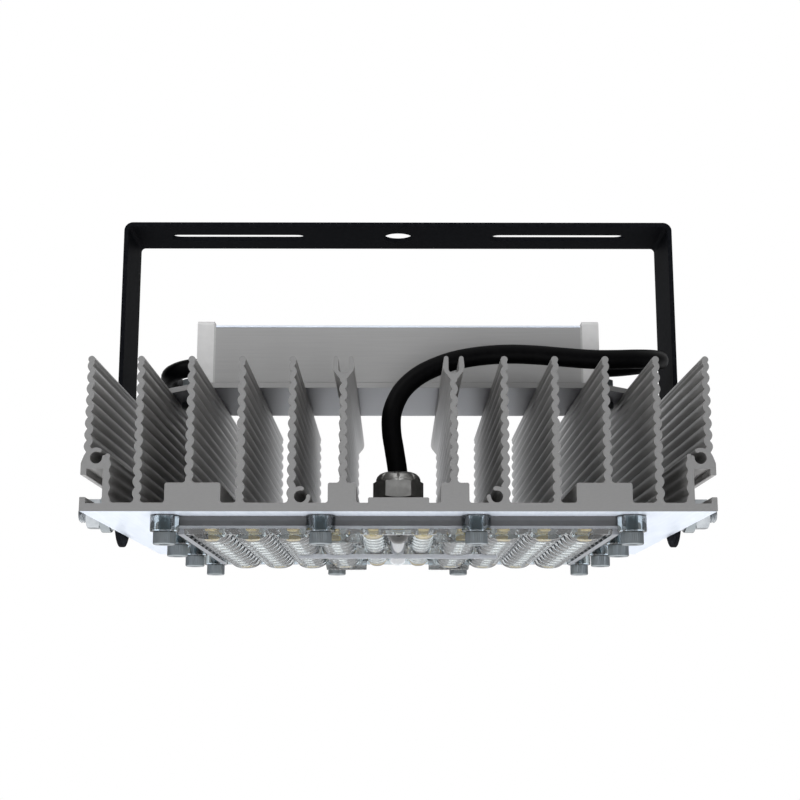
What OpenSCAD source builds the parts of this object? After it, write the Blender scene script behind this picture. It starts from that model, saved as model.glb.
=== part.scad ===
// Flood light: a finned LED head hung in a bent steel yoke, with its driver box across the fin tops.
// The frame's origin is the centre hole of the yoke's top bar, on the bar's upper face, with Z up.
// X runs across the light from arm to arm, and the heat sink's fins run along Y.

/* [Heat sink] */
// Width over the bolt channels
sink_w = 250; // [246:1:256]
// Length of the extrusion, along the fins
sink_l = 194; // [180:1:210]
// Height of the fin tops over the underside
sink_h = 62.3; // [60:0.1:66]
// Thickness of the base
base_t = 3.4; // [3:0.1:4.5]
// Distance from the middle to the first fin
fin_first = 22; // [21.5:0.1:23]
// Fin thickness at the top
fin_t = 1.8; // [1.6:0.1:2.1]
// Fin thickness at the base
fin_root_t = 2.6; // [2.2:0.1:3]
// Height of one wave of a fin
wave_h = 4.6; // [4.2:0.1:5.2]
// How far a fin's wave swings to each side
wave_swing = 0.6; // [0.4:0.05:1]
// Diameter of the bead along a fin's top
bead_d = 2.8; // [2.4:0.1:3]

/* [Bolt channel] */
// Width of the channel's mouth
mouth_h = 8.7; // [8.5:0.1:9.5]
// Height of the channel behind the mouth
channel_h = 13.6; // [13.4:0.1:14.4]
// Depth of the channel behind the lips
channel_d = 6.5; // [6:0.1:6.8]
// Thickness of the lips
lip_t = 2.3; // [2:0.1:2.4]

/* [Yoke] */
// Thickness of the steel strip
strip_t = 2; // [1.5:0.1:3]
// Width of the steel strip
strip_w = 35; // [30:1:40]
// Distance from the pivot axis to the underside of the top bar
yoke_reach = 132.5; // [131:0.5:150]
// Side play between the head and each arm
arm_play = 0.4; // [0.3:0.1:1]
// Inner radius of the bends
bend_r = 2; // [1:0.5:4]
// Radius of an arm's round end, about the pivot axis
tail_r = 15.1; // [12:0.1:17.5]
// Height over the pivot axis where an arm starts to narrow
taper_h = 18; // [10:1:30]
// Diameter of the centre hole in the top bar
hanger_hole_d = 13.4; // [10:0.1:15]
// Distance from the middle to the centre of each slot
slot_offset = 76; // [74:0.5:80]
// Length of each slot, end to end
slot_l = 64; // [40:1:66]
// Width of each slot
slot_w = 8.5; // [6:0.1:10]

/* [Pivot hardware] */
// Diameter of the pivot bolts
pivot_d = 8; // [7.6:0.1:8]
// Width across the flats of a bolt head or nut
pivot_flats = 13; // [12.8:0.1:13]
// Height of a bolt head
pivot_head_h = 5.2; // [4.5:0.1:5.4]
// Diameter of the washers and friction bushes
washer_d = 17; // [16:0.5:20]
// Thickness of a washer
washer_t = 1.6; // [1:0.1:2]
// Length of a friction bush
bush_l = 4.6; // [4:0.1:7]
// Thickness of a lock washer
lock_washer_t = 2.1; // [1.6:0.1:2.2]
// Diameter of a lock washer
lock_washer_d = 14.8; // [14:0.1:15]
// Height of a nut
pivot_nut_h = 6.5; // [5:0.1:6.8]
// Thread that stands past a nut
thread_end = 3.9; // [1:0.1:6]

/* [Lens] */
// Distance from a lens side to the sink's side
lens_side = 34.5; // [33:0.5:36]
// Distance from a lens end to the sink's end
lens_end = 16; // [14:0.5:18]
// Thickness of the lens flange
lens_t = 3.8; // [3.6:0.1:4.4]
// Height of the screw lugs
lug_h = 6.8; // [5:0.1:7]
// Diameter of the screw lugs
lug_d = 12; // [11:0.1:12.4]
// Distance from a lens side out to the corner screws
screw_out_x = 3; // [2.5:0.1:3.5]
// Distance from a lens end out to the end rows of screws
screw_out_y = 2; // [1.5:0.1:3]
// Radius of the lens bars' rounding
bar_r = 10.9; // [9.5:0.1:12]
// Distance from the middle to the first wide lens bar
bar_first = 26.5; // [25:0.1:27]

/* [Driver] */
// Depth of the driver box
driver_d = 68; // [60:1:70]
// Height of the driver's extruded case
case_h = 26.2; // [24:0.1:32]
// Wall of the extruded case
case_t = 2; // [1.5:0.1:3]
// Thickness of an end cap
cap_t = 8.2; // [7:0.1:10]
// How far an end cap stands over the case
cap_rise = 2; // [1:0.1:3]
// Thickness of the driver's carrier plate
plate_t = 2.4; // [2:0.1:3]

/* [Leads] */
// Diameter of the lead between the driver and the lens module
lead_d = 8.4; // [7.5:0.1:8.6]
// Diameter of the supply cord
cord_d = 8.4; // [6:0.1:8.6]

/* [Hidden] */
$fn = 48;

// Overrun of every cut
over = 1;
// Gap between flat faces that turn or slide on each other
run_gap = 0.1;
lock_slit = 1;
// Radial gap between a screw and its hole
thread_gap = 0.05;

// Fins: the last full fin stands this far in from the side
last_fin_in = 22.4;
last_fin_x = sink_w / 2 - last_fin_in;
fin_gaps = 4;
fin_pitch = (last_fin_x - fin_first) / fin_gaps;
lens_w = sink_w - 2 * lens_side;
lens_l = sink_l - 2 * lens_end;
screw_x = lens_w / 2 + screw_out_x;
screw_y = lens_l / 2 + screw_out_y;

// The driver reaches from lug to lug, and a lug bolt stands beside the last full fin
lug_in = 6.3;
lug_x = last_fin_x - lug_in;
lug_reach = 6.7;
driver_w = 2 * (lug_x - lug_reach);
plate_reach = 13.7;
plate_w = 2 * (lug_x + plate_reach);

// Places of the bolt channel and the pivot axis
foot_z = base_t - thread_gap;
mouth_z = 5.6;
pivot_z = mouth_z + mouth_h / 2;
channel_z = pivot_z - channel_h / 2;
lip_x = sink_w / 2 - lip_t;
channel_x = lip_x - channel_d;
channel_wall = 2.9;
web_x = channel_x - channel_wall;
shoulder_z = 19.2;
shoulder_cut = 2.6;

// Height of the whole light over the heat sink's underside
bar_z = pivot_z + yoke_reach;
top_z = bar_z + strip_t;

// Screw ports: C-shaped channels for self-tapping screws
port_r = 2.4;
port_wall = 1.6;
inner_port_in = 3.55;
inner_port_x = fin_first + fin_pitch - inner_port_in;
inner_port_z = 5.9;
outer_port_in = 5.9;
outer_port_x = sink_w / 2 - outer_port_in;
outer_port_z = 21.2;

// Fork fins: a screw channel along the top of the two middle fins
fork_w = 7.9;
fork_gap = 4.2;
fork_waist = 8.8;
fork_arm_l = 5.4;
fork_floor = 6.9;
fork_neck = 9.3;
neck_w = 2.4;

// Pads on the base
gland_pad_w = 24;
gland_pad_h = 2.1;
fork_pad_in = 5.3;
fork_pad_x = fin_first - fork_pad_in;
fork_pad_w = 11.1;
fin_pad_w = 21.9;
fin_pad_in = 12.55;
fin_pad_x = last_fin_x - fin_pitch - fin_pad_in;
pad_h = 7.9;
pad_corner = 0.8;
outer_fin_in = 2.6;
outer_fin_x = sink_w / 2 - outer_fin_in;

// Screws of the lens
lens_screw_d = 5;
lens_head_d = 9;
lens_head_h = 5;
socket_d = 4.6;
socket_h = 2.6;
side_out = 3;
lens_rows = 4;
inner_share = 1 / 3;

// Lens surface and the room over it
field_margin = 6;
bar_l = lens_l - 2 * field_margin;
bar_ribs = 12;
chip_pitch = bar_l / bar_ribs;
rib_rise = 0.5;
rim_inset = 1;
rim_over = 2;
rim_w = lens_w - 2 * rim_inset;
rim_l = bar_l + 2 * rim_over;
rim_t = 3;
rim_h = 3.2;
field_drop = 1.1;
recess_d = 2.8;
recess_inset = 10.5;
recess_w = lens_w - 2 * recess_inset;
recess_l = bar_l - 2 * rim_over;
bar_count = 4;
bar_edge = 3.4;
bar_pitch = (recess_w / 2 - bar_edge - bar_first) / (bar_count - 1);
bar_low = 9;
bar_sink = bar_low - bar_r;
mid_x = 10.3;
mid_r = 5.3;
mid_low = 8.1;
mid_sink = mid_low - mid_r;
spine_r = 5;
spine_in = 13;
spine_l = bar_l - 2 * spine_in;
spine_sink = bar_low - spine_r;
cross_reach = 2.8;
cross_w = 2 * (bar_first + bar_pitch + cross_reach);
cross_t = 3;
brace_r = 3;
brace_x = mid_x + mid_r;
brace_l = bar_first + bar_pitch / 2 + brace_r / 3 - brace_x;
brace_in = 4;
brace_y = bar_l / 2 - brace_in;
gasket_w = 3;
gasket_t = 1.2;

// LED boards and chips
board_t = 1.6;
board_gap = 0.5;
side_in = 21.5;
board_split = 4.5;
board_side_w = recess_w / 2 - board_gap - side_in;
board_side_x = side_in + board_side_w / 2;
board_mid_w = 2 * (side_in - board_split);
board_l = recess_l - 4 * board_gap;
chip_w = 5;
chip_t = 1;
board_screw_d = 3;
board_head_d = 5.4;
board_head_h = 1;
board_screw_y = (bar_ribs / 2 - 1) * chip_pitch;
board_screw_x = bar_first + 3 * bar_pitch / 2;

// Cable gland
gland_clear = 15;
gland_y = -driver_d / 2 - gland_clear;
gland_bore_d = 16;
gland_flats = 18.6;
gland_neck_d = 15;
gland_flange_h = 5;
gland_nut_h = 7.8;
gland_dome_h = 3.8;
gland_dome_d = 19.4;
gland_mouth_d = 10;
gland_hole_d = 9.4;

// Driver
cap_h = case_h + cap_rise;
cap_corner = 2;
driver_z = sink_h + plate_t;
case_w = driver_w - 2 * cap_t;
seal_t = 0.8;
plate_cut_x = 22;
plate_cut_y = 18.3;
lug_w = 16;
lug_t = 3;
lug_l = 12.6;
lug_bolt_d = 5;
lug_flats = 8;
lug_head_h = 3.2;
lug_washer_d = 9;
lug_washer_t = 1;
lug_nut_h = 4.2;
plate_screw_d = 3.9;
plate_screw_head_d = 7.4;
plate_screw_head_h = 2.2;
plate_screw_l = 6;
plate_screw_in = 14;
plate_screw_y = driver_d - 2 * plate_screw_in;
cap_screw_d = 4;
cap_screw_head_d = 7;
cap_screw_head_h = 2.4;
cap_screw_l = 14;
cap_screw_in = 6;
cap_screw_y = driver_d / 2 - cap_screw_in;
cap_screw_down = 5.1;
cap_screw_z = case_h / 2 - cap_screw_down;
cap_mid_z = driver_z + cap_h / 2;
bush_d = 13;
lead_bush_l = 2.4;

// Inside the driver
pcb_t = 1.6;
pcb_lift = 3;
pcb_gap = 0.6;
pcb_margin = 2;
pcb_w = driver_w - 2 * (cap_screw_l + pcb_gap);
pcb_d = driver_d - 2 * (case_t + pcb_margin);
standoff_d = 6;
core_w = 34;
core_d = 28;
core_h = 16;
winding_w = 22;
winding_h = 12;
can_d = 13;
can_l = 17;
can_count = 3;
can_pitch = 15;
choke_d = 22;
choke_wire = 7;

// Free length of the supply cord and its cores
core_d_each = 2.4;
core_off = 1.5;
core_l = 24;
sleeve_d = 1.8;
sleeve_l = 8;

steel = [0.72, 0.73, 0.74];
black_paint = [0.06, 0.06, 0.065];
extrusion = [0.6, 0.6, 0.6];
rubber = [0.03, 0.03, 0.03];
clear = [0.85, 0.9, 0.95, 0.5];

// A rectangle with its lower left corner given, and its upper corners rounded
module pad_2d(x, z, w, h, r) {
    translate([x, z]) {
        square([w, h - r]);
        translate([r, h - r - over]) square([w - 2 * r, r + over]);
        translate([r, h - r]) circle(r = r);
        translate([w - r, h - r]) circle(r = r);
    }
}

// One side's share of a fin's swing: flat crests joined by slopes, four points to a wave
wave_shares = [[0.09, 1], [0.41, -1], [0.59, -1], [0.91, 1]];
function wave_line(z0, z1) = [
    for (i = [0 : floor((z1 - z0) / wave_h)], s = wave_shares)
        if (z0 + (i + s[0]) * wave_h < z1) [s[1] * wave_swing, z0 + (i + s[0]) * wave_h]
];
function fin_half(z, z0, z1) = (fin_root_t + (fin_t - fin_root_t) * (z - z0) / (z1 - z0)) / 2;

// A waved fin from height z0 to z1, drawn about its own middle line
module fin_2d(z0, z1) {
    line = wave_line(z0, z1);
    right = [for (p = line) [p[0] + fin_half(p[1], z0, z1), p[1]]];
    left = [for (i = [len(line) - 1 : -1 : 0]) [line[i][0] - fin_half(line[i][1], z0, z1), line[i][1]]];
    polygon(concat([[fin_root_t / 2, z0]], right, [[fin_t / 2, z1], [-fin_t / 2, z1]], left,
        [[-fin_root_t / 2, z0]]));
}

// A round screw port, open towards the middle and upwards
module port_2d(x, z) {
    difference() {
        translate([x, z]) circle(r = port_r + port_wall);
        port_bore_2d(x, z);
    }
}

module port_bore_2d(x, z) {
    translate([x, z]) {
        circle(r = port_r);
        polygon([[0, 0], [-2 * port_r, 0], [-2 * port_r, 2 * port_r], [-port_r / 2, 2 * port_r]]);
    }
}

// A middle fin with the fork on its top, drawn in one outline
module fork_fin_2d(z0) {
    top = sink_h;
    neck = top - fork_neck;
    line = wave_line(z0, neck);
    right = [for (p = line) [p[0] + fin_half(p[1], z0, neck), p[1]]];
    left = [for (i = [len(line) - 1 : -1 : 0]) [line[i][0] - fin_half(line[i][1], z0, neck), line[i][1]]];
    fork = [[neck_w / 2, neck], [fork_waist / 2, top - fork_arm_l], [fork_w / 2, top], [fork_gap / 2, top],
        [fork_gap / 2, top - fork_arm_l], [fork_gap / 4, top - fork_floor]];
    back = [for (i = [len(fork) - 1 : -1 : 0]) [-fork[i][0], fork[i][1]]];
    polygon(concat([[fin_root_t / 2, z0]], right, fork, back, left, [[-fin_root_t / 2, z0]]));
}

// The right half of the extrusion's section
module section_half() {
    bead_z = sink_h - bead_d / 2;
    difference() {
        union() {
            square([sink_w / 2, base_t]);
            pad_2d(-over, 0, gland_pad_w / 2 + over, base_t + gland_pad_h, pad_corner / 2);
            pad_2d(fork_pad_x, 0, fork_pad_w, base_t + pad_h, pad_corner);
            pad_2d(fin_pad_x, 0, fin_pad_w, base_t + pad_h, pad_corner);
            translate([fin_first, 0]) fork_fin_2d(base_t / 2);
            for (i = [1 : fin_gaps]) translate([fin_first + i * fin_pitch, 0]) {
                fin_2d(base_t / 2, bead_z);
                translate([0, bead_z]) circle(d = bead_d);
            }
            translate([outer_fin_x, 0]) {
                fin_2d(shoulder_z - over, bead_z);
                translate([0, bead_z]) circle(d = bead_d);
            }
            port_2d(inner_port_x, inner_port_z);
            translate([inner_port_x, 0]) square([fin_pitch / 5, inner_port_z]);
            port_2d(outer_port_x, outer_port_z);
            polygon([[web_x, 0], [sink_w / 2, 0], [sink_w / 2, shoulder_z],
                [sink_w / 2 - shoulder_cut / 2, shoulder_z + shoulder_cut],
                [outer_port_x, shoulder_z + shoulder_cut], [web_x + shoulder_cut, shoulder_z + shoulder_cut],
                [web_x, shoulder_z]]);
        }
        port_bore_2d(inner_port_x, inner_port_z);
        port_bore_2d(outer_port_x, outer_port_z);
        translate([channel_x, channel_z]) square([channel_d, channel_h]);
        translate([lip_x - over, mouth_z]) square([lip_t + 2 * over, mouth_h]);
    }
}

// Places of the twelve lens screws, row by row
function screw_row_y(i) = -screw_y + 2 * screw_y * i / (lens_rows - 1);
lens_screw_places = concat(
    [for (i = [0, lens_rows - 1], x = [-1, -inner_share, inner_share, 1]) [x * screw_x, screw_row_y(i)]],
    [for (i = [1 : lens_rows - 2], s = [-1, 1]) [s * (screw_x + side_out), screw_row_y(i)]]);

board_xs = [-board_side_x, 0, board_side_x];
board_screw_xs = [-board_screw_x, mid_x / 2, board_screw_x];
board_screw_places = [for (x = board_screw_xs, s = [-1, 1]) [x, s * board_screw_y]];

module heat_sink() {
    color(extrusion) translate([0, 0, -top_z]) difference() {
        rotate([90, 0, 0]) translate([0, 0, -sink_l / 2]) linear_extrude(sink_l) {
            section_half();
            mirror([1, 0]) section_half();
        }
        for (p = lens_screw_places) translate([p[0], p[1], -over])
            cylinder(d = lens_screw_d + 2 * thread_gap, h = base_t + 2 * over);
        for (p = board_screw_places) translate([p[0], p[1], -over])
            cylinder(d = board_screw_d + 2 * thread_gap, h = base_t + over - board_t / 2);
        translate([0, gland_y, -over])
            cylinder(d = gland_bore_d + 2 * thread_gap, h = base_t + gland_pad_h + 2 * over);
    }
}

// The yoke's strip seen from the front: two arms, two bends and the top bar
module strip_2d() {
    in_x = sink_w / 2 + arm_play;
    out_r = bend_r + strip_t;
    low = pivot_z - tail_r;
    translate([-in_x + bend_r, bar_z]) square([2 * (in_x - bend_r), strip_t]);
    for (s = [-1, 1]) {
        translate([s * (in_x + strip_t / 2) - strip_t / 2, low]) square([strip_t, bar_z - bend_r - low]);
        intersection() {
            translate([s * (in_x - bend_r), bar_z - bend_r]) difference() {
                circle(r = out_r);
                circle(r = bend_r);
            }
            translate([s * (in_x - bend_r + out_r) - out_r, bar_z - bend_r]) square([2 * out_r, out_r]);
        }
    }
}

// The strip seen from the side: full width, narrowing to a round end about the pivot axis
module arm_side_2d() {
    polygon([[strip_w / 2, pivot_z + taper_h], [strip_w / 2, top_z + over], [-strip_w / 2, top_z + over],
        [-strip_w / 2, pivot_z + taper_h], [-tail_r, pivot_z], [tail_r, pivot_z]]);
    translate([0, pivot_z]) circle(r = tail_r);
}

module yoke() {
    in_x = sink_w / 2 + arm_play;
    color(black_paint) translate([0, 0, -top_z]) difference() {
        intersection() {
            rotate([90, 0, 0]) translate([0, 0, -strip_w]) linear_extrude(2 * strip_w) strip_2d();
            rotate([90, 0, 90]) translate([0, 0, -sink_w]) linear_extrude(2 * sink_w) arm_side_2d();
        }
        translate([0, 0, bar_z - over]) {
            cylinder(d = hanger_hole_d, h = strip_t + 2 * over);
            for (s = [-1, 1]) translate([s * slot_offset, 0, 0]) {
                for (e = [-1, 1]) translate([e * (slot_l - slot_w) / 2, 0, 0])
                    cylinder(d = slot_w, h = strip_t + 2 * over);
                translate([-(slot_l - slot_w) / 2, -slot_w / 2, 0])
                    cube([slot_l - slot_w, slot_w, strip_t + 2 * over]);
            }
        }
        for (s = [-1, 1]) translate([s * (in_x + strip_t / 2), 0, pivot_z]) rotate([0, 90, 0])
            cylinder(d = pivot_d + 4 * run_gap, h = strip_t + 2 * over, center = true);
    }
}

// Stack of the pivot hardware, measured outwards from an arm's outer face
arm_out_x = sink_w / 2 + arm_play + strip_t;
washer_x = arm_out_x + run_gap;
lock_x = washer_x + washer_t;
bush_x = lock_x + lock_washer_t;
nut_x = bush_x + bush_l;
bolt_end_x = nut_x + pivot_nut_h + thread_end;
head_x = lip_x - run_gap - pivot_head_h;

// Places a right-hand piece and its mirror image on the pivot axis, with its own +Z outwards
module on_pivots(x) {
    for (s = [0, 1]) mirror([s, 0, 0]) translate([x, 0, pivot_z - top_z]) rotate([0, 90, 0]) children();
}

// A hexagonal prism by its width across flats
module hex_prism(flats, h) {
    cylinder(d = flats / cos(30), h = h, $fn = 6);
}

module ring(outer_d, inner_d, h) {
    difference() {
        cylinder(d = outer_d, h = h);
        translate([0, 0, -over]) cylinder(d = inner_d, h = h + 2 * over);
    }
}

module pivot_bolts() {
    color(steel) on_pivots(head_x) {
        rotate([0, 0, 30]) hex_prism(pivot_flats, pivot_head_h);
        cylinder(d = pivot_d, h = bolt_end_x - head_x);
    }
}

module pivot_washers() {
    color(steel) on_pivots(washer_x) ring(washer_d, pivot_d + 2 * run_gap, washer_t);
}

module friction_bushes() {
    color(steel) on_pivots(bush_x) ring(washer_d, pivot_d + 2 * run_gap, bush_l);
}

module lock_washers() {
    color(steel) on_pivots(lock_x) difference() {
        ring(lock_washer_d, pivot_d + 2 * run_gap, lock_washer_t);
        translate([0, -lock_slit / 2, -over]) cube([washer_d, lock_slit, lock_washer_t + 2 * over]);
    }
}

module pivot_nuts() {
    color(steel) on_pivots(nut_x) difference() {
        rotate([0, 0, 30]) hex_prism(pivot_flats, pivot_nut_h);
        translate([0, 0, -over]) cylinder(d = pivot_d + 2 * thread_gap, h = pivot_nut_h + 2 * over);
    }
}

// A board lies against the heat sink's underside
module led_board(i) {
    w = i == 1 ? board_mid_w : board_side_w;
    color([0.9, 0.9, 0.88]) translate([board_xs[i], 0, -top_z]) difference() {
        translate([-w / 2, -board_l / 2, -board_t]) cube([w, board_l, board_t]);
        for (s = [-1, 1]) translate([board_screw_xs[i] - board_xs[i], s * board_screw_y, -board_t - over])
            cylinder(d = board_screw_d + 2 * thread_gap, h = board_t + 2 * over);
    }
}

module led_board_left() { led_board(0); }
module led_board_centre() { led_board(1); }
module led_board_right() { led_board(2); }

bar_xs = [for (s = [-1, 1], i = [0 : bar_count - 1]) s * (bar_first + i * bar_pitch)];
mid_xs = [-mid_x, mid_x];

// A row of chips stands over each lens bar, one chip to each rib
module led_chips() {
    color([0.8, 0.68, 0.3]) translate([0, 0, -top_z])
        for (x = concat(bar_xs, mid_xs, [0]), i = [0 : bar_ribs - 1])
            chip(x, (i + 1 / 2 - bar_ribs / 2) * chip_pitch);
}

module chip(x, y) {
    translate([x - chip_w / 2, y - chip_w / 2, -board_t - chip_t]) cube([chip_w, chip_w, chip_t]);
}

module board_screws() {
    color(steel) translate([0, 0, -top_z]) for (p = board_screw_places) translate([p[0], p[1], 0]) {
        translate([0, 0, -board_t]) cylinder(d = board_screw_d, h = board_t + base_t - board_t);
        translate([0, 0, -board_t - board_head_h]) cylinder(d = board_head_d, h = board_head_h);
    }
}

module lens_gasket() {
    color(rubber) translate([0, 0, -top_z - gasket_t]) difference() {
        block(recess_w + 2 * gasket_w, recess_l + 2 * gasket_w, gasket_t, 0);
        block(recess_w, recess_l, gasket_t + 2 * over, -over);
    }
}

// A block centred in X and Y, from height z up
module block(w, l, h, z) {
    translate([-w / 2, -l / 2, z]) cube([w, l, h]);
}

// Each rib's share of the pitch along a bar, and how deep it lies there as a share of the rise
rib_shares = [[0.1, -1], [0.3, -0.25], [0.7, -0.25], [0.9, -1]];

// A lens bar: a turned, ribbed rod that lies along Y
module lens_bar(r) {
    outline = concat([[0, 0], [r - 2 * rib_rise, 0]],
        [for (i = [0 : bar_ribs - 1], s = rib_shares) [r + s[1] * rib_rise, (i + s[0]) * chip_pitch]],
        [[r - 2 * rib_rise, bar_l], [0, bar_l]]);
    translate([0, -bar_l / 2, 0]) rotate([-90, 0, 0]) rotate_extrude() polygon(outline);
}

module lens_plate() {
    groove_w = recess_w + 2 * gasket_w;
    groove_l = recess_l + 2 * gasket_w;
    rim_z = -lens_t - rim_h;
    color(clear) translate([0, 0, -top_z]) difference() {
        union() {
            block(lens_w, lens_l, lens_t, -lens_t);
            difference() {
                block(rim_w, rim_l, lens_t + rim_h, rim_z);
                block(rim_w - 2 * rim_t, rim_l - 2 * rim_t, field_drop + over, rim_z - over);
            }
            for (p = lens_screw_places) translate([p[0], p[1], -lug_h]) cylinder(d = lug_d, h = lug_h);
            for (i = [1 : lens_rows - 2]) translate([0, screw_row_y(i), 0])
                block(2 * (screw_x + side_out), lug_d, lens_t, -lens_t);
            for (x = bar_xs) translate([x, 0, -bar_sink]) lens_bar(bar_r);
            for (x = mid_xs) translate([x, 0, -mid_sink]) lens_bar(mid_r);
            translate([0, -spine_l / 2, -spine_sink]) rotate([-90, 0, 0]) cylinder(r = spine_r, h = spine_l);
            block(cross_w, cross_t, bar_low - recess_d, -bar_low);
            for (s = [0, 1], t = [-1, 1]) mirror([s, 0, 0]) translate([brace_x, t * brace_y, 0]) {
                translate([0, 0, -bar_low + brace_r]) rotate([0, 90, 0]) cylinder(r = brace_r, h = brace_l);
                translate([0, -brace_r, -bar_low + brace_r])
                    cube([brace_l, 2 * brace_r, bar_low - brace_r - recess_d]);
            }
        }
        block(recess_w, recess_l, recess_d + 2 * bar_r, -recess_d);
        block(groove_w, groove_l, gasket_t + over, -gasket_t);
        block(lens_w + 2 * lug_d, lens_l + 2 * lug_d, 2 * bar_r, 0);
        for (p = lens_screw_places) translate([p[0], p[1], -lug_h - over])
            cylinder(d = lens_screw_d + 2 * run_gap, h = lug_h + 2 * over);
    }
}

module lens_screws() {
    color(steel) translate([0, 0, -top_z]) for (p = lens_screw_places) translate([p[0], p[1], -lug_h]) {
        cylinder(d = lens_screw_d, h = lug_h + base_t - run_gap);
        translate([0, 0, -lens_head_h]) difference() {
            cylinder(d = lens_head_d, h = lens_head_h);
            translate([0, 0, -over]) cylinder(d = socket_d, h = socket_h + over, $fn = 6);
        }
    }
}

// Cable gland: body screwed into the base, rubber seal and domed cap nut
gland_z = base_t + gland_pad_h;
module gland_body() {
    color(steel) translate([0, gland_y, -top_z]) difference() {
        union() {
            cylinder(d = gland_bore_d, h = gland_z);
            translate([0, 0, gland_z]) hex_prism(gland_flats, gland_flange_h);
            translate([0, 0, gland_z]) cylinder(d = gland_neck_d, h = gland_flange_h + gland_nut_h / 2);
        }
        translate([0, 0, -over]) cylinder(d = gland_hole_d, h = gland_z + gland_flange_h + gland_nut_h);
    }
}

module gland_seal() {
    color(rubber) translate([0, gland_y, gland_z + gland_flange_h + gland_nut_h / 2 - top_z])
        ring(gland_neck_d, lead_d + 2 * run_gap, gland_nut_h / 2);
}

module gland_nut() {
    z = gland_z + gland_flange_h;
    color(steel) translate([0, gland_y, z - top_z]) difference() {
        union() {
            hex_prism(gland_flats, gland_nut_h);
            translate([0, 0, gland_nut_h]) rotate_extrude() polygon(concat([[0, 0]],
                [for (a = [0 : 15 : 75]) [gland_dome_d / 2 - gland_dome_h + gland_dome_h * cos(a),
                    gland_dome_h * sin(a)]],
                [[gland_dome_d / 2 - gland_dome_h, gland_dome_h], [0, gland_dome_h]]));
        }
        translate([0, 0, -over]) cylinder(d = gland_neck_d + 2 * thread_gap, h = gland_nut_h + over);
        cylinder(d = gland_mouth_d, h = gland_nut_h + gland_dome_h + over);
    }
}

// A tube swept along points: rings of a regular polygon, each square to the path's direction there
function unit(v) = v / norm(v);
function path_dir(p, i) = unit(p[min(i + 1, len(p) - 1)] - p[max(i - 1, 0)]);
function path_side(d) = unit(abs(d[2]) > 0.9 ? cross(d, [0, 1, 0]) : cross(d, [0, 0, 1]));
function carried(d, s) = unit(s - (s * d) * d);
function sides(p, i) = i == 0 ? [path_side(path_dir(p, 0))]
    : let (before = sides(p, i - 1)) concat(before, [carried(path_dir(p, i), before[i - 1])]);
module tube(p, d, n) {
    side = sides(p, len(p) - 1);
    rings = [for (i = [0 : len(p) - 1], k = [0 : n - 1])
        let (t = path_dir(p, i), u = side[i], w = cross(t, u))
        p[i] + d / 2 * (cos(360 * k / n) * u + sin(360 * k / n) * w)];
    last = (len(p) - 1) * n;
    polyhedron(points = rings, faces = concat(
        [[for (k = [0 : n - 1]) n - 1 - k]],
        [for (i = [0 : len(p) - 2], k = [0 : n - 1], h = [0, 1])
            let (a = i * n + k, b = i * n + (k + 1) % n)
            h == 0 ? [a, b, b + n] : [a, b + n, a + n]],
        [[for (k = [0 : n - 1]) last + k]]));
}

// A smooth curve through hand-chosen points
function knot(p, i) = p[max(0, min(len(p) - 1, i))];
function between(a, b, c, d, t) = ((2 * b) + (c - a) * t + (2 * a - 5 * b + 4 * c - d) * t * t
    + (3 * b - a - 3 * c + d) * t * t * t) / 2;
function smooth(p, steps) = concat([for (i = [0 : len(p) - 2], j = [0 : steps - 1])
    between(knot(p, i - 1), knot(p, i), knot(p, i + 1), knot(p, i + 2), j / steps)], [p[len(p) - 1]]);

// The module lead: up out of the gland, over the fork, along the driver's front and into its right cap
gland_top = gland_z + gland_flange_h + gland_nut_h + gland_dome_h;
lead_shape = [[0, -49, 13], [-0.25, -49, 22.1], [-1.7, -49, 32], [-2.9, -49, 40], [-2.7, -49, 48],
    [0.4, -49, 56], [5.5, -49, 62], [13, -49, 67], [24, -49, 71.2], [36, -49, 73.4], [48, -49, 74.2],
    [60, -49, 73.8], [72, -49, 72.8], [84, -48.6, 72], [94, -47.5, 72.2], [103, -45, 73], [111, -39.5, 74.2],
    [116.2, -31.5, 75.6], [117.9, -23, 77], [116, -14.5, 78], [110.6, -6.6, 78.6], [103, -1.5, 78.8],
    [97, 0, 78.8], [93, 0, 78.8], [89.6, 0, 78.8]];
// A height of a shape, moved so that its heights a and b come to low and high
function fitted(z, a, b, low, high) = low + (z - a) * (high - low) / (b - a);
lead_in = lead_shape[len(lead_shape) - 1];
lead_route = [for (p = lead_shape) [
    p[0] < lead_in[0] ? p[0] * driver_w / 2 / lead_in[0] : p[0] - lead_in[0] + driver_w / 2,
    p[1] * gland_y / lead_shape[0][1],
    fitted(p[2], lead_shape[1][2], lead_in[2], gland_top, cap_mid_z)]];
module module_lead() {
    color(rubber) translate([0, 0, -top_z]) tube(smooth(lead_route, 2), lead_d, 12);
}

// The plate that carries the driver lies on the fin tops, screwed into the two fork channels
module carrier_plate() {
    w = plate_w / 2;
    d = driver_d / 2;
    color(extrusion) translate([0, 0, sink_h - top_z]) difference() {
        linear_extrude(plate_t) polygon([[w - plate_cut_x, -d], [w, -d + plate_cut_y], [w, d - plate_cut_y],
            [w - plate_cut_x, d], [-w + plate_cut_x, d], [-w, d - plate_cut_y], [-w, -d + plate_cut_y],
            [-w + plate_cut_x, -d]]);
        for (s = [-1, 1]) translate([s * lug_x, 0, -over])
            cylinder(d = lug_bolt_d + 2 * run_gap, h = plate_t + 2 * over);
        for (s = [-1, 1], t = [-1, 1]) translate([s * fin_first, t * plate_screw_y / 2, 0]) {
            translate([0, 0, -over]) cylinder(d = plate_screw_d + 2 * run_gap, h = plate_t + 2 * over);
            translate([0, 0, plate_t - plate_screw_head_h])
                cylinder(d = plate_screw_head_d + 2 * run_gap, h = plate_t);
        }
    }
}

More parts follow.
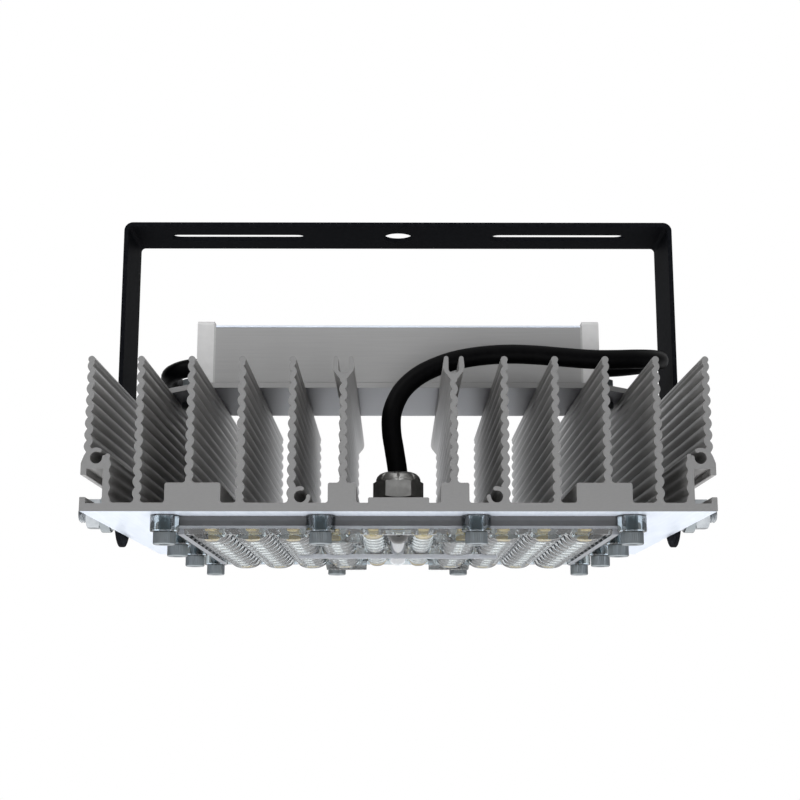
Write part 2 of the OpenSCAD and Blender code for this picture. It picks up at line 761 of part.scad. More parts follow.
module plate_screws() {
    color(steel) translate([0, 0, sink_h + plate_t - plate_screw_head_h - top_z])
        for (s = [-1, 1], t = [-1, 1]) translate([s * fin_first, t * plate_screw_y / 2, 0]) {
            cylinder(d = plate_screw_head_d, h = plate_screw_head_h - run_gap);
            translate([0, 0, -plate_screw_l + over]) cylinder(d = plate_screw_d, h = plate_screw_l);
            translate([0, 0, -plate_screw_l - over / 2])
                cylinder(d1 = plate_screw_d / 4, d2 = plate_screw_d, h = 3 * over / 2, $fn = 24);
        }
}

// The driver's case: an extruded tube along X
module driver_case() {
    color(extrusion) translate([-case_w / 2, 0, driver_z - top_z]) difference() {
        translate([0, -driver_d / 2, 0]) cube([case_w, driver_d, case_h]);
        translate([-over, -driver_d / 2 + case_t, case_t])
            cube([case_w + 2 * over, driver_d - 2 * case_t, case_h - 2 * case_t]);
    }
}

// Places a right-hand piece, or its mirror image on the left
module at_side(s) {
    mirror([s < 0 ? 1 : 0, 0, 0]) children();
}

cap_screw_places = [for (s = [-1, 1], t = [-1, 1]) [s * cap_screw_y, cap_mid_z + t * cap_screw_z]];

module driver_cap() {
    x = case_w / 2 + seal_t;
    inner = case_t + run_gap;
    difference() {
        union() {
            translate([x, -driver_d / 2, driver_z]) cube([cap_t - seal_t, driver_d, cap_h - cap_corner]);
            translate([x, -driver_d / 2 + cap_corner, driver_z])
                cube([cap_t - seal_t, driver_d - 2 * cap_corner, cap_h]);
            for (s = [-1, 1]) translate([x, s * (driver_d / 2 - cap_corner), driver_z + cap_h - cap_corner])
                rotate([0, 90, 0]) cylinder(r = cap_corner, h = cap_t - seal_t);
            translate([x + cap_t - seal_t - over, -lug_w / 2, driver_z]) cube([lug_l + over, lug_w, lug_t]);
        }
        translate([lug_x, 0, driver_z - over]) cylinder(d = lug_bolt_d + 2 * run_gap, h = lug_t + 2 * over);
        translate([x - over, 0, cap_mid_z]) rotate([0, 90, 0])
            cylinder(d = lead_d + 4 * run_gap, h = cap_t + 2 * over);
        for (p = cap_screw_places) translate([x, p[0], p[1]]) rotate([0, 90, 0]) {
            translate([0, 0, -over]) cylinder(d = cap_screw_d + 2 * run_gap, h = cap_t + 2 * over);
            translate([0, 0, cap_t - seal_t - cap_screw_head_h])
                cylinder(d = cap_screw_head_d + 2 * run_gap, h = cap_screw_head_h + over);
        }
    }
}

module driver_cap_left() {
    color([0.78, 0.78, 0.78]) translate([0, 0, -top_z]) at_side(-1) driver_cap();
}

module driver_cap_right() {
    color([0.78, 0.78, 0.78]) translate([0, 0, -top_z]) at_side(1) driver_cap();
}

module cap_seals() {
    color(rubber) translate([0, 0, -top_z]) for (s = [-1, 1]) at_side(s)
        translate([case_w / 2, -driver_d / 2, driver_z]) difference() {
            cube([seal_t, driver_d, case_h]);
            translate([-over, case_t, case_t])
                cube([seal_t + 2 * over, driver_d - 2 * case_t, case_h - 2 * case_t]);
        }
}

module cap_screws() {
    color(steel) translate([0, 0, -top_z]) for (s = [-1, 1]) at_side(s)
        for (p = cap_screw_places) translate([driver_w / 2, p[0], p[1]]) rotate([0, -90, 0]) {
            cylinder(d = cap_screw_head_d, h = cap_screw_head_h);
            cylinder(d = cap_screw_d, h = cap_screw_l);
        }
}

module lug_bolts() {
    color(steel) translate([0, 0, sink_h - top_z]) for (s = [-1, 1]) translate([s * lug_x, 0, 0]) {
        translate([0, 0, -lug_head_h]) rotate([0, 0, 30]) hex_prism(lug_flats, lug_head_h);
        translate([0, 0, -lug_head_h / 2])
            cylinder(d = lug_bolt_d, h = lug_head_h / 2 + plate_t + lug_t + lug_washer_t + lug_nut_h + over);
    }
}

module lug_washers() {
    color(steel) translate([0, 0, driver_z + lug_t - top_z]) for (s = [-1, 1]) translate([s * lug_x, 0, 0])
        ring(lug_washer_d, lug_bolt_d + 2 * run_gap, lug_washer_t);
}

module lug_nuts() {
    color(steel) translate([0, 0, driver_z + lug_t + lug_washer_t - top_z])
        for (s = [-1, 1]) translate([s * lug_x, 0, 0]) difference() {
            rotate([0, 0, 30]) hex_prism(lug_flats, lug_nut_h);
            translate([0, 0, -over]) cylinder(d = lug_bolt_d + 2 * thread_gap, h = lug_nut_h + 2 * over);
        }
}

// A rubber bush in a cap's hole: a collar outside the cap, around the lead that ends on the plug
module lead_bush(d) {
    translate([driver_w / 2 - cap_t / 2, 0, cap_mid_z]) rotate([0, 90, 0]) {
        cylinder(d = lead_d + 3 * run_gap, h = cap_t / 2);
        translate([0, 0, cap_t / 2]) ring(bush_d, d + 4 * run_gap, lead_bush_l);
    }
}

module lead_bush_left() {
    color(rubber) translate([0, 0, -top_z]) at_side(-1) lead_bush(cord_d);
}

module lead_bush_right() {
    color(rubber) translate([0, 0, -top_z]) at_side(1) lead_bush(lead_d);
}

// Inside the driver: the board on four feet, and the large parts on it
pcb_z = driver_z + case_t + pcb_lift;
module circuit_board() {
    color([0.1, 0.35, 0.2]) translate([0, 0, -top_z]) {
        block(pcb_w, pcb_d, pcb_t, pcb_z);
        for (s = [-1, 1], t = [-1, 1])
            translate([s * (pcb_w / 2 - standoff_d), t * (pcb_d / 2 - standoff_d), driver_z + case_t])
                cylinder(d = standoff_d, h = pcb_lift);
    }
}

module transformer() {
    color([0.15, 0.14, 0.13]) translate([0, 0, pcb_z + pcb_t - top_z]) {
        block(core_w, core_d / 2, core_h, 0);
        block(winding_w, core_d, winding_h, 0);
    }
}

module capacitors() {
    color([0.1, 0.12, 0.3]) translate([pcb_w / 4, 0, pcb_z + pcb_t + can_d / 2 - top_z])
        for (i = [0 : can_count - 1]) translate([0, (i - (can_count - 1) / 2) * can_pitch, 0])
            rotate([0, 90, 0]) cylinder(d = can_d, h = can_l);
}

module choke() {
    color([0.5, 0.28, 0.12]) translate([-pcb_w / 3, 0, pcb_z + pcb_t + choke_wire / 2 - top_z])
        rotate_extrude() translate([(choke_d - choke_wire) / 2, 0]) circle(d = choke_wire);
}

// The supply cord: out of the left cap, back over the outer fins and down into the gap beside them
cord_shape = [[-89.6, 0, 78.8], [-93, 0, 78.8], [-96.6, 0, 78.8], [-101.2, 1.2, 78.2], [-105.4, 4.6, 77.5],
    [-108.2, 9.8, 77], [-109.2, 16, 76.8], [-108.8, 22.5, 76.4], [-107.2, 29, 75.6], [-105, 35.5, 74.2],
    [-102.4, 42, 72], [-99.8, 48.5, 69], [-97.4, 55, 65.2], [-95.2, 61.5, 60.6], [-93.4, 67.8, 55.2],
    [-92.2, 73.6, 49], [-91.4, 78.6, 42.4], [-90.8, 81.8, 35.4], [-90.4, 81.6, 28.2], [-90, 77.6, 22],
    [-89.8, 71, 17.8], [-89.4, 63, 15.9], [-89.2, 54, 15.6], [-89.2, 44, 15.6], [-89.2, 33, 15.6],
    [-89.2, 22, 15.6]];
cord_rest_z = base_t + pad_h + cord_d / 2 + run_gap;
cord_route = [for (p = cord_shape) [p[0] - cord_shape[0][0] - driver_w / 2, p[1],
    fitted(p[2], cord_shape[len(cord_shape) - 1][2], cord_shape[0][2], cord_rest_z, cap_mid_z)]];
module supply_cord() {
    color(rubber) translate([0, 0, -top_z]) tube(smooth(cord_route, 2), cord_d, 10);
}

// Three bare-ended cores leave the sheath, each with a crimped end sleeve
cord_end = cord_route[len(cord_route) - 1];
core_colours = [[0.35, 0.2, 0.1], [0.1, 0.25, 0.6], [0.3, 0.6, 0.2]];
module at_cores() {
    for (i = [0 : 2]) translate([cord_end[0], cord_end[1], cord_end[2] - top_z]) rotate([90, 0, 0])
        rotate([0, 0, 120 * i + 90]) translate([core_off, 0, 0]) {
            $core = i;
            children();
        }
}

module cord_cores() {
    at_cores() color(core_colours[$core]) cylinder(d = core_d_each, h = core_l);
}

module core_sleeves() {
    color(steel) at_cores() translate([0, 0, core_l]) cylinder(d = sleeve_d, h = sleeve_l);
}

yoke();
pivot_bolts();
pivot_washers();
friction_bushes();
lock_washers();
pivot_nuts();
heat_sink();
led_board_left();
led_board_centre();
led_board_right();
led_chips();
board_screws();
lens_gasket();
lens_plate();
lens_screws();
gland_body();
gland_seal();
gland_nut();
module_lead();
carrier_plate();
plate_screws();
driver_case();
driver_cap_left();
driver_cap_right();
cap_seals();
cap_screws();
lug_bolts();
lug_washers();
lug_nuts();
lead_bush_left();
lead_bush_right();
circuit_board();
transformer();
capacitors();
choke();
supply_cord();
cord_cores();
core_sleeves();
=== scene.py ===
import math
import bmesh
import bpy
import numpy as np
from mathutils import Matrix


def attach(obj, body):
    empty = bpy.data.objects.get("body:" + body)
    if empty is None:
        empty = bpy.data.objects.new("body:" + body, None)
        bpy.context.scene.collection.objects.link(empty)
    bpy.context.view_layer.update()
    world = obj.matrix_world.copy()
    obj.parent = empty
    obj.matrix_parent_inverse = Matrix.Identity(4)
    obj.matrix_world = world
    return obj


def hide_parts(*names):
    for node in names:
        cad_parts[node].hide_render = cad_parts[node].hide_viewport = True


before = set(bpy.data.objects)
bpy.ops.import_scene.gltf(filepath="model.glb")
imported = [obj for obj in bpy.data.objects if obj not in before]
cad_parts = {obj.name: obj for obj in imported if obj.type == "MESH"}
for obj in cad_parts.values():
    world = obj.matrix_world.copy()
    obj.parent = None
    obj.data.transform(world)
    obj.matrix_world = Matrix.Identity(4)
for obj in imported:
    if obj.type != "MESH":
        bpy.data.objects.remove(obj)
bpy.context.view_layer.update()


# Where the photograph was taken from: a short telephoto lens 65 cm in front of the light and a
# little below it, tipped up by 11 degrees, so that the lens under the head just shows.
def linked(name, data):
    """An object that shows the data, linked to the scene."""
    made = bpy.data.objects.new(name, data)
    bpy.context.scene.collection.objects.link(made)
    return made


MM = 0.001
TOP = 144.45  # the yoke's top over the sink's underside, where the heights in this file start
CAMERA_X, CAMERA_Y, CAMERA_Z = -1.56, -646.8, -64.3
camera_data = bpy.data.cameras.new("camera")
camera_data.lens, camera_data.sensor_width = 63.52, 36.0
camera_data.clip_start, camera_data.clip_end = 0.01, 100.0
camera = linked("camera", camera_data)
camera.location = [v * MM for v in (CAMERA_X, CAMERA_Y, CAMERA_Z - TOP)]
camera.rotation_euler = (math.radians(101.18), 0.0, math.radians(-0.22))
bpy.context.scene.camera = camera


# The heat sink: one length of extruded aluminium, 250 mm wide, with twelve waved fins, screw ports,
# pads and a bolt channel along each side. It is sawn to length, which leaves its ends flat and even,
# and its sides keep the fine lines of the die.
def hex_colour(code):
    """A colour from its sRGB hex value, turned to linear light: ((c + 0.055) / 1.055) to the 2.4."""
    c = np.array([int(code[i:i + 2], 16) for i in (0, 2, 4)]) / 255
    return (*np.where(c <= 0.04045, c / 12.92, ((c + 0.055) / 1.055) ** 2.4), 1.0)


def add(tree, kind, inputs=None, **own):
    """One shader node with its own settings. An input takes a value, or a link from a socket."""
    node = tree.nodes.new(kind)
    for name, value in own.items():
        setattr(node, name, value)
    for name, value in (inputs or {}).items():
        if isinstance(value, bpy.types.NodeSocket):
            tree.links.new(value, node.inputs[name])
        else:
            node.inputs[name].default_value = value
    return node


def new_finish(name, **surface):
    """A material with one principled surface: returns it, its tree, that surface and the place on the
    object, which patterns are read from."""
    material = bpy.data.materials.new(name)
    material.use_nodes = True
    tree = material.node_tree
    body = tree.nodes["Principled BSDF"]
    for key, value in surface.items():
        body.inputs[key.replace("_", " ")].default_value = value
    return material, tree, body, add(tree, "ShaderNodeTexCoord").outputs["Object"]


def mottled(name, size_mm, dark, light, stretch=(1, 1, 1), bump=0.0, rough=None, **surface):
    """A finish whose colour drifts between two hex values over patches of size_mm. Over the same
    patches its roughness runs through the range rough, and its relief is bump mm deep."""
    material, tree, body, place = new_finish(name, **surface)
    at = add(tree, "ShaderNodeMapping", {"Vector": place, "Scale": stretch}).outputs["Vector"]
    noise = add(tree, "ShaderNodeTexNoise", {"Vector": at, "Detail": 3.0,
                                             "Scale": 1 / (size_mm * MM)})
    patches = noise.outputs["Fac"]
    low, high = 0.3, 0.7
    ramp = add(tree, "ShaderNodeValToRGB", {"Fac": patches})
    for end, where, code in zip(ramp.color_ramp.elements, (low, high), (dark, light)):
        end.position, end.color = where, hex_colour(code)
    tree.links.new(ramp.outputs["Color"], body.inputs["Base Color"])
    if rough:
        spread = add(tree, "ShaderNodeMapRange", {"Value": patches, "From Min": low, "From Max": high,
                                                  "To Min": rough[0], "To Max": rough[1]})
        tree.links.new(spread.outputs["Result"], body.inputs["Roughness"])
    if bump:
        relief = add(tree, "ShaderNodeBump", {"Height": patches, "Strength": 0.5,
                                              "Distance": bump * MM})
        tree.links.new(relief.outputs["Normal"], body.inputs["Normal"])
    return material


WELD, SLIVER = 2e-6, 1e-6  # metres: points nearer than this become one, and shorter edges go


def make_piece(name, points, faces, body, looks, sharp=30, looks_of=None):
    """A mesh object from points in mm over the sink's underside. Points that coincide become one,
    faces without area go, and normals are turned outwards. Edges over sharp degrees stay sharp, and
    looks_of says for each face which of the looks it has."""
    mesh = bpy.data.meshes.new(name)
    mesh.from_pydata(((np.asarray(points, float) - (0, 0, TOP)) * MM).tolist(), [], faces)
    if looks_of is not None:
        mesh.polygons.foreach_set("material_index", looks_of)
    work = bmesh.new()
    work.from_mesh(mesh)
    bmesh.ops.remove_doubles(work, verts=work.verts, dist=WELD)
    bmesh.ops.dissolve_degenerate(work, edges=work.edges, dist=SLIVER)
    bmesh.ops.recalc_face_normals(work, faces=work.faces)
    work.to_mesh(mesh)
    work.free()
    mesh.shade_smooth()
    mesh.set_sharp_from_angle(angle=math.radians(sharp))
    for look in looks:
        mesh.materials.append(look)
    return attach(linked(name, mesh), body)


def quads(rows, columns, start=0, wrap=False):
    """The four-sided faces of a grid of points: each joins a point, the next in its row, and the two
    after them in the next row. With wrap, a row's last point joins its first."""
    across = columns if wrap else columns - 1
    i, j = np.meshgrid(np.arange(rows - 1), np.arange(across), indexing="ij")
    k = (j + 1) % columns
    corners = [i * columns + j, i * columns + k, (i + 1) * columns + k, (i + 1) * columns + j]
    return np.stack(corners, -1).reshape(-1, 4) + start


def arc(x, z, r, start, end, steps):
    """Points on a circle about (x, z), from one angle to another, in degrees."""
    a = np.radians(np.linspace(start, end, steps))
    return np.stack([x + r * np.cos(a), z + r * np.sin(a)], 1)


HALF_LENGTH = 97.0
BASE, PAD, ROOT = 3.4, 11.3, 1.3  # the base's top, a pad's top and the fillet where a fin meets them
WAVE, SWING, VALLEY = 4.64, 0.56, 46.6  # a fin's waves: pitch, half their depth, a valley's height
FIN_HALF, TAPER = 1.3, 0.35  # half a fin's thickness at the base, and how much of it the top loses
FIN_TOP, BEAD, BEAD_FOOT = 60.9, 1.4, 59.85  # the bead on a fin: its middle, radius and foot
PORT, BORE, LIP, LIP_AT = 4.0, 2.4, 0.8, 3.2  # a port's outside, bore and lips, and the lips' place
FIN_1, FIN_2, FIN_3, FIN_4, FIN_5, FIN_6 = 122.4, 102.6, 82.45, 62.3, 42.15, 22.0


def fin_side(x, side, low, high, foot=0.0):
    """One face of a fin: x plus half the thickness, which tapers from the foot to the top, plus the
    swing times 2 |sin(pi t)| to the 0.85 - 1, with t = (z - VALLEY) / WAVE, so that crests are round
    and valleys are tighter. The left face is half a wave on. Both die out at the bead and at the
    foot, where a quarter circle of radius foot joins the face to the floor."""
    start = low + foot
    z = np.linspace(start, high, max(2, int((high - start) / WAVE * 16)))
    t = (z - VALLEY) / WAVE + (0.5 if side < 0 else 0)
    fade = np.clip((FIN_TOP - z) / 2.0, 0, 1) * (np.clip((z - start) / 1.2, 0, 1) if foot else 1)
    half = FIN_HALF - TAPER * (z - BASE) / (FIN_TOP - BASE)
    wave = SWING * fade * (2 * np.abs(np.sin(np.pi * t)) ** 0.85 - 1)
    face = np.stack([x + side * (half + wave), z], 1)
    root = arc(x + side * (half[0] + foot), start, foot, 270, 270 - side * 90, 6)
    return np.concatenate([root[:-1], face]) if foot else face


def plain_fin(x, right_foot=BASE, left_foot=BASE, right_root=ROOT, left_root=ROOT):
    """A fin with its bead, walked up its right face, over the top and down its left face."""
    return [fin_side(x, 1, right_foot, BEAD_FOOT, right_root), arc(x, FIN_TOP, BEAD, -49, 229, 15),
            fin_side(x, -1, left_foot, BEAD_FOOT, left_root)[::-1]]


def bend(before, corner, after, reach=1.7):
    """A rounded corner between two lines: the curve (1 - t)^2 a + 2 t (1 - t) c + t^2 b, where c is
    the corner and a and b lie at reach from it on either line."""
    before, corner, after = np.array([before, corner, after], float)
    a, b = (corner + reach * (end - corner) / np.linalg.norm(end - corner) for end in (before, after))
    t = np.linspace(0, 1, 7)[:, None]
    return (1 - t) ** 2 * a + 2 * t * (1 - t) * corner + t ** 2 * b


def forked_fin(x):
    """A middle fin whose top opens into a screw channel between two round-ended arms."""
    neck, waist, tip = 53.0, 56.9, 61.38
    neck_half, waist_half, tip_half = 1.35, 4.4, 3.945
    arm, arm_half = 3.025, 0.92
    a = np.linspace(0, np.pi, 9)
    floor = np.stack([x + 2.1 * np.cos(a), waist - 1.5 * np.sin(a)], 1)
    return [fin_side(x, 1, PAD, neck - 0.6, ROOT), [[x + neck_half, neck]],
            bend((x + neck_half, neck), (x + waist_half, waist), (x + tip_half, tip)),
            arc(x + arm, tip, arm_half, 0, 180, 9), floor, arc(x - arm, tip, arm_half, 0, 180, 9),
            bend((x - tip_half, tip), (x - waist_half, waist), (x - neck_half, neck)),
            [[x - neck_half, neck]], fin_side(x, -1, PAD, neck - 0.6, ROOT)[::-1]]


def pad(left, right, inner):
    """A pad on the base with rounded corners, walked from right to left. Inner stands on it."""
    foot, top = 1, 0.8
    return [arc(right + foot, BASE + foot, foot, 270, 180, 6),
            arc(right - top, PAD - top, top, 0, 90, 6), *inner,
            arc(left + top, PAD - top, top, 90, 180, 6),
            arc(left - foot, BASE + foot, foot, 0, -90, 6)]


def port(x, z, start, upper, lower, end):
    """A C-shaped screw port: its outside from the angle start, the round lip at upper, the bore, the
    lip at lower and the outside on to end."""
    a, b = np.radians(upper), np.radians(lower)
    return [arc(x, z, PORT, start, upper, 8),
            arc(x + LIP_AT * math.cos(a), z + LIP_AT * math.sin(a), LIP, upper, upper + 180, 7)[1:-1],
            arc(x, z, BORE, upper, lower - 360, 26),
            arc(x + LIP_AT * math.cos(b), z + LIP_AT * math.sin(b), LIP, lower - 180, lower, 7)[1:-1],
            arc(x, z, PORT, lower, end, 8)]


web_z = np.linspace(21.6, BASE + ROOT, 44)
web = np.stack([113.5 - 0.35 * np.cos(2 * np.pi * web_z / WAVE), web_z], 1)
# Half of the section, walked from the middle of the underside out to the bolt channel, over its
# waved web and over the fins, ports and pads back to the middle of the base.
half_section = np.concatenate([np.asarray(run, float).reshape(-1, 2) for run in [
    [[0, 0], [124.7, 0], [125, 0.3], [125, 5.4], [124.8, 5.6], [122.9, 5.6], [122.7, 5.4],
     [122.7, 3.15], [116.2, 3.15], [116.2, 16.75], [122.7, 16.75], [122.7, 14.5], [122.9, 14.3],
     [124.8, 14.3], [125, 14.5], [125, 19.0], [124.9, 19.3], [123.9, 22.0]],
    *plain_fin(FIN_1, 23.2, 25.2, 0, 0),
    *port(119.1, 21.2, 62, 113, 176, 188), arc(114.6, 21.9, 0.95, 20, 180, 8), web,
    arc(web[-1, 0] - ROOT, BASE + ROOT, ROOT, 0, -90, 6)[1:],
    *plain_fin(FIN_2),
    *pad(69.9, 91.8, plain_fin(FIN_3, PAD, PAD)),
    *plain_fin(FIN_4),
    *plain_fin(FIN_5, BASE, 9.6, ROOT, 0), *port(38.6, 5.9, 52, 102, 180, 218.7),
    *pad(16.7, 27.8, forked_fin(FIN_6)),
    [[12, BASE], [12, 5.1], [11.6, 5.5], [0, 5.5]]]])
section = np.concatenate([half_section, half_section[-2:0:-1] * (-1, 1)])
count = len(section)
ends = [np.stack([section[:, 0], np.full(count, y), section[:, 1]], 1)
        for y in (-HALF_LENGTH, HALF_LENGTH)]
end_faces = [list(range(count))[::-1], list(range(count, 2 * count))]
sides = quads(2, count, 0, True)
underneath = np.all(section[sides[:, :2] % count, 1] < 0.01, axis=1)

# Mill-finish aluminium: a soft metal gloss drawn out in streaks along the extrusion.
extruded = mottled("mill_finish_aluminium", 1.2, "A2A1A0", "B4B3B2", stretch=(1, 0.02, 1), bump=0.01,
                   rough=(0.4, 0.48), Metallic=0.8, Roughness=0.4)
# Sawn aluminium: a flatter, darker grey with short marks across the cut.
sawn = mottled("sawn_aluminium", 0.5, "7C7C7C", "828282", stretch=(0.3, 1, 1.6), bump=0.002,
               rough=(0.5, 0.58), Metallic=0.55, Roughness=0.52)
# The underside is machined flat for the boards, so it is smoother than the rest; its near-white,
# bluish colour is painted light, the reflection of a bright light below.
painted_bright_aluminium = mottled("milled_aluminium_painted_light", 0.8, "DDE6F4", "E6EDF8", stretch=(1, 0.05, 1),
                 rough=(0.28, 0.34), Metallic=0.5)
heat_sink = make_piece("heat_sink_fins", np.concatenate(ends), sides.tolist() + end_faces, "head",
                       [extruded, sawn, painted_bright_aluminium], 35, np.where(underneath, 2, 0).tolist() + [1, 1])
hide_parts("heat_sink")


# The yoke: a strip of 2 mm steel bent to a stirrup, punched with a hanging hole and two slots, with
# round-ended arms. It is powder coated black, which softens every edge, and it carries the head on
# the two pivots.
def eased(node, body, look, width, segments=2):
    """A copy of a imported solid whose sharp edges, over 35 degrees, are rounded by width, in mm."""
    crease = math.radians(35)
    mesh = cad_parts[node].data.copy()
    work = bmesh.new()
    work.from_mesh(mesh)
    bmesh.ops.remove_doubles(work, verts=work.verts, dist=WELD)
    bmesh.ops.dissolve_limit(work, angle_limit=math.radians(0.8), verts=work.verts, edges=work.edges)
    bmesh.ops.recalc_face_normals(work, faces=work.faces)
    work.to_mesh(mesh)
    work.free()
    mesh.materials.clear()
    mesh.materials.append(look)
    piece = linked(node + "_eased", mesh)
    mesh.shade_smooth()
    mesh.set_sharp_from_angle(angle=crease)
    bevel = piece.modifiers.new("edges", "BEVEL")
    bevel.width, bevel.segments = width * MM, segments
    bevel.limit_method, bevel.angle_limit = "ANGLE", crease
    bevel.harden_normals = True
    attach(piece, body)
    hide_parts(node)
    return piece


# Powder coat: near-black, half gloss, with the slight orange peel of the baked powder.
powder = mottled("black_powder_coat", 1.4, "0E0F12", "16171A", bump=0.02, rough=(0.46, 0.56),
                 Specular_IOR_Level=0.003)
eased("yoke", "yoke", powder, 0.12)


# The pivots: 8 mm bolts with their heads in the side channels, and outside each arm a washer, a lock
# washer, a turned bush and a nut. All are zinc-plated steel but the bushes, which are stainless.
def grids_to_piece(name, grids, body, looks, sharp=30):
    """One object of several closed surfaces, each a grid of rows that wrap round."""
    points, faces, start = [], [], 0
    for grid in grids:
        points.append(grid.reshape(-1, 3))
        faces.append(quads(grid.shape[0], grid.shape[1], start, True))
        start += grid.shape[0] * grid.shape[1]
    return make_piece(name, np.concatenate(points), np.concatenate(faces).tolist(), body, looks,
                      sharp)


def stand(points, centre, along=(0, 0, 1)):
    """Puts points that were drawn about the z axis onto another axis through a centre."""
    w = np.asarray(along, float)
    u = np.array([1.0, 0, 0]) if abs(w[2]) > 0.9 else np.cross((0, 0, 1), w)
    return np.asarray(centre, float) + points @ np.stack([u, np.cross(w, u), w])


def round_rows(a, rows):
    """Rows of points about the z axis: x = r cos a, y = r sin a, z = h, for each row's r and h."""
    return np.stack([np.stack([r * np.cos(a), r * np.sin(a), h + 0 * a], -1) for r, h in rows])


def turned(profile, steps=48):
    """A profile of (radius, height) carried round the z axis."""
    return round_rows(np.linspace(0, 2 * np.pi, steps, endpoint=False), profile)


def ring_profile(outer, inner, height, e=0.25):
    """The closed outline of a washer or bush, with its outer edges eased by e."""
    return [[inner, 0], [outer - e, 0], [outer - 0.3 * e, 0.3 * e], [outer, e], [outer, height - e],
            [outer - 0.3 * e, height - 0.3 * e], [outer - e, height], [inner, height], [inner, 0]]


def hexagon(flats, height, bore=0.0, turn=0.0, ease=1.0):
    """A nut or bolt head: the radius is flats / 2 / cos(angle from the nearest flat's middle), and a
    cone takes off the corners at both ends."""
    a = np.linspace(0, 2 * np.pi, 72, endpoint=False)
    side = flats / 2 / np.cos(np.mod(a, np.pi / 3) - np.pi / 6)
    face = flats / 2 * 0.96
    drop = (side - face) * 0.5 * ease
    rows = [(bore, height), (face, height), (side, height - drop), (side, drop), (face, 0), (bore, 0)]
    return round_rows(a + math.radians(turn), rows + (rows[:1] if bore else []))


def threaded(radius, low, high, pitch, depth):
    """A threaded shank: its radius falls and rises by depth once a pitch along a helix, and its end
    is chamfered."""
    a = np.linspace(0, 2 * np.pi, 40, endpoint=False)
    h = np.linspace(low, high, int((high - low) / pitch * 6) + 2)[:, None]
    turn = np.mod(h / pitch - a / (2 * np.pi), 1)
    r = radius - depth * np.abs(2 * turn - 1)
    r = np.minimum(r, radius - 1.0 + (high - h) * 1.2)
    return round_rows(a, [(0, low), *zip(r, h), (0, high)])


PIVOT_Z = 9.95
# Zinc plating: bright but slightly milky steel.
zinc = mottled("zinc_plated_steel", 3.0, "8C9094", "A2A6A9", bump=0.004, rough=(0.28, 0.4),
               Metallic=1.0, Roughness=0.34)
# Stainless steel: cleaner and glossier.
stainless = mottled("stainless_steel", 2.5, "81878A", "868C8F", rough=(0.32, 0.36),
                    Metallic=0.9, Roughness=0.28)
# Each row: the material slot, the node, its look, and its shapes with the x where each one starts.
for slot_name, node, look, shapes in (
        ("zinc_steel", "pivot_bolts", zinc, [
            (hexagon(flats=13, height=5.2), 117.4),
            (threaded(radius=4.0, low=5.0, high=28.8, pitch=1.25, depth=0.5), 117.4)]),
        ("zinc_steel", "pivot_washers", zinc, [(turned(ring_profile(8.5, 4.1, 1.6)), 127.5)]),
        ("zinc_steel", "lock_washers", zinc, [(turned(ring_profile(7.4, 4.1, 2.1, 0.15)), 129.1)]),
        ("bright_steel", "friction_bushes", stainless, [
            (turned(ring_profile(8.5, 4.1, 4.6, 0.5)), 131.2)]),
        ("zinc_steel", "pivot_nuts", zinc, [(hexagon(flats=13, height=6.5, bore=4.05), 135.8)])):
    pair = [stand(shape, (s * x, 0, PIVOT_Z), (s, 0, 0)) for s in (-1, 1) for shape, x in shapes]
    made = grids_to_piece(node + "_turned", pair, "pivots", [look])
    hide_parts(node)


# The LED boards: aluminium boards under a grey mask, screwed to the sink's underside. Square yellow
# chips on white ceramic bases are soldered to them in rows, over the bars of the lens.
def dress(node, look):
    """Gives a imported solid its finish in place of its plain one."""
    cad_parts[node].data.materials.clear()
    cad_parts[node].data.materials.append(look)


def square_block(rows, corner=5):
    """A block with rounded corners: the radius is the row's half width over the corner-norm of
    (cos a, sin a), which is a rounded square."""
    a = np.linspace(0, 2 * np.pi, 24, endpoint=False)
    reach = (np.abs(np.cos(a)) ** corner + np.abs(np.sin(a)) ** corner) ** (-1 / corner)
    return round_rows(a, [(h * reach, z) for h, z in rows])


NARROW_BAR, WIDE_BARS = 10.3, (26.5, 43.2, 59.9, 76.6)  # the middles of the bars on one side
CHIPS, CHIP_PITCH = 12, 12.5
# Solder mask: a smooth grey lacquer.
mask = mottled("grey_solder_mask", 6.0, "6C6F71", "7C7F80", rough=(0.3, 0.42), Roughness=0.35,
               Metallic=0.2)
# Phosphor: yellow powder in clear silicone, which gives it a glossy skin.
phosphor = mottled("yellow_phosphor", 1.5, "C09A3E", "E0C06A", rough=(0.25, 0.4), Roughness=0.3,
                   Coat_Weight=0.6)
for name in ("led_board_left", "led_board_centre", "led_board_right"):
    dress(name, mask)
dress("board_screws", stainless)
# Ceramic: fired white, almost matt.
ceramic = mottled("white_ceramic", 1.5, "CFCFC8", "DADAD4", rough=(0.35, 0.45), Roughness=0.4)
chip_places = [(s * x, (i - (CHIPS - 1) / 2) * CHIP_PITCH, 0) for i in range(CHIPS)
               for x in (0, NARROW_BAR, *WIDE_BARS) for s in ((-1, 1) if x else (1,))]
base = square_block([(0, -1.6), (2.5, -1.6), (2.5, -2.6), (0, -2.6)], 12)
glow = square_block([(0, -2.6), (2.3, -2.6), (2.3, -4.3), (2.1, -4.7), (1.7, -4.9), (0, -5.0)])
chip_bases = grids_to_piece("chip_bases", [base + at for at in chip_places], "head", [ceramic])
chip_glow = grids_to_piece("chip_phosphor", [glow + at for at in chip_places], "head", [phosphor])
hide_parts("led_chips")

# The gasket: a strip of soft black rubber round the lens's recess, pressed against the sink by the
# lens screws.
rubber = mottled("black_rubber", 2.0, "0B0B0B", "161616", bump=0.02, rough=(0.55, 0.7),
                 Roughness=0.62)
dress("lens_gasket", rubber)


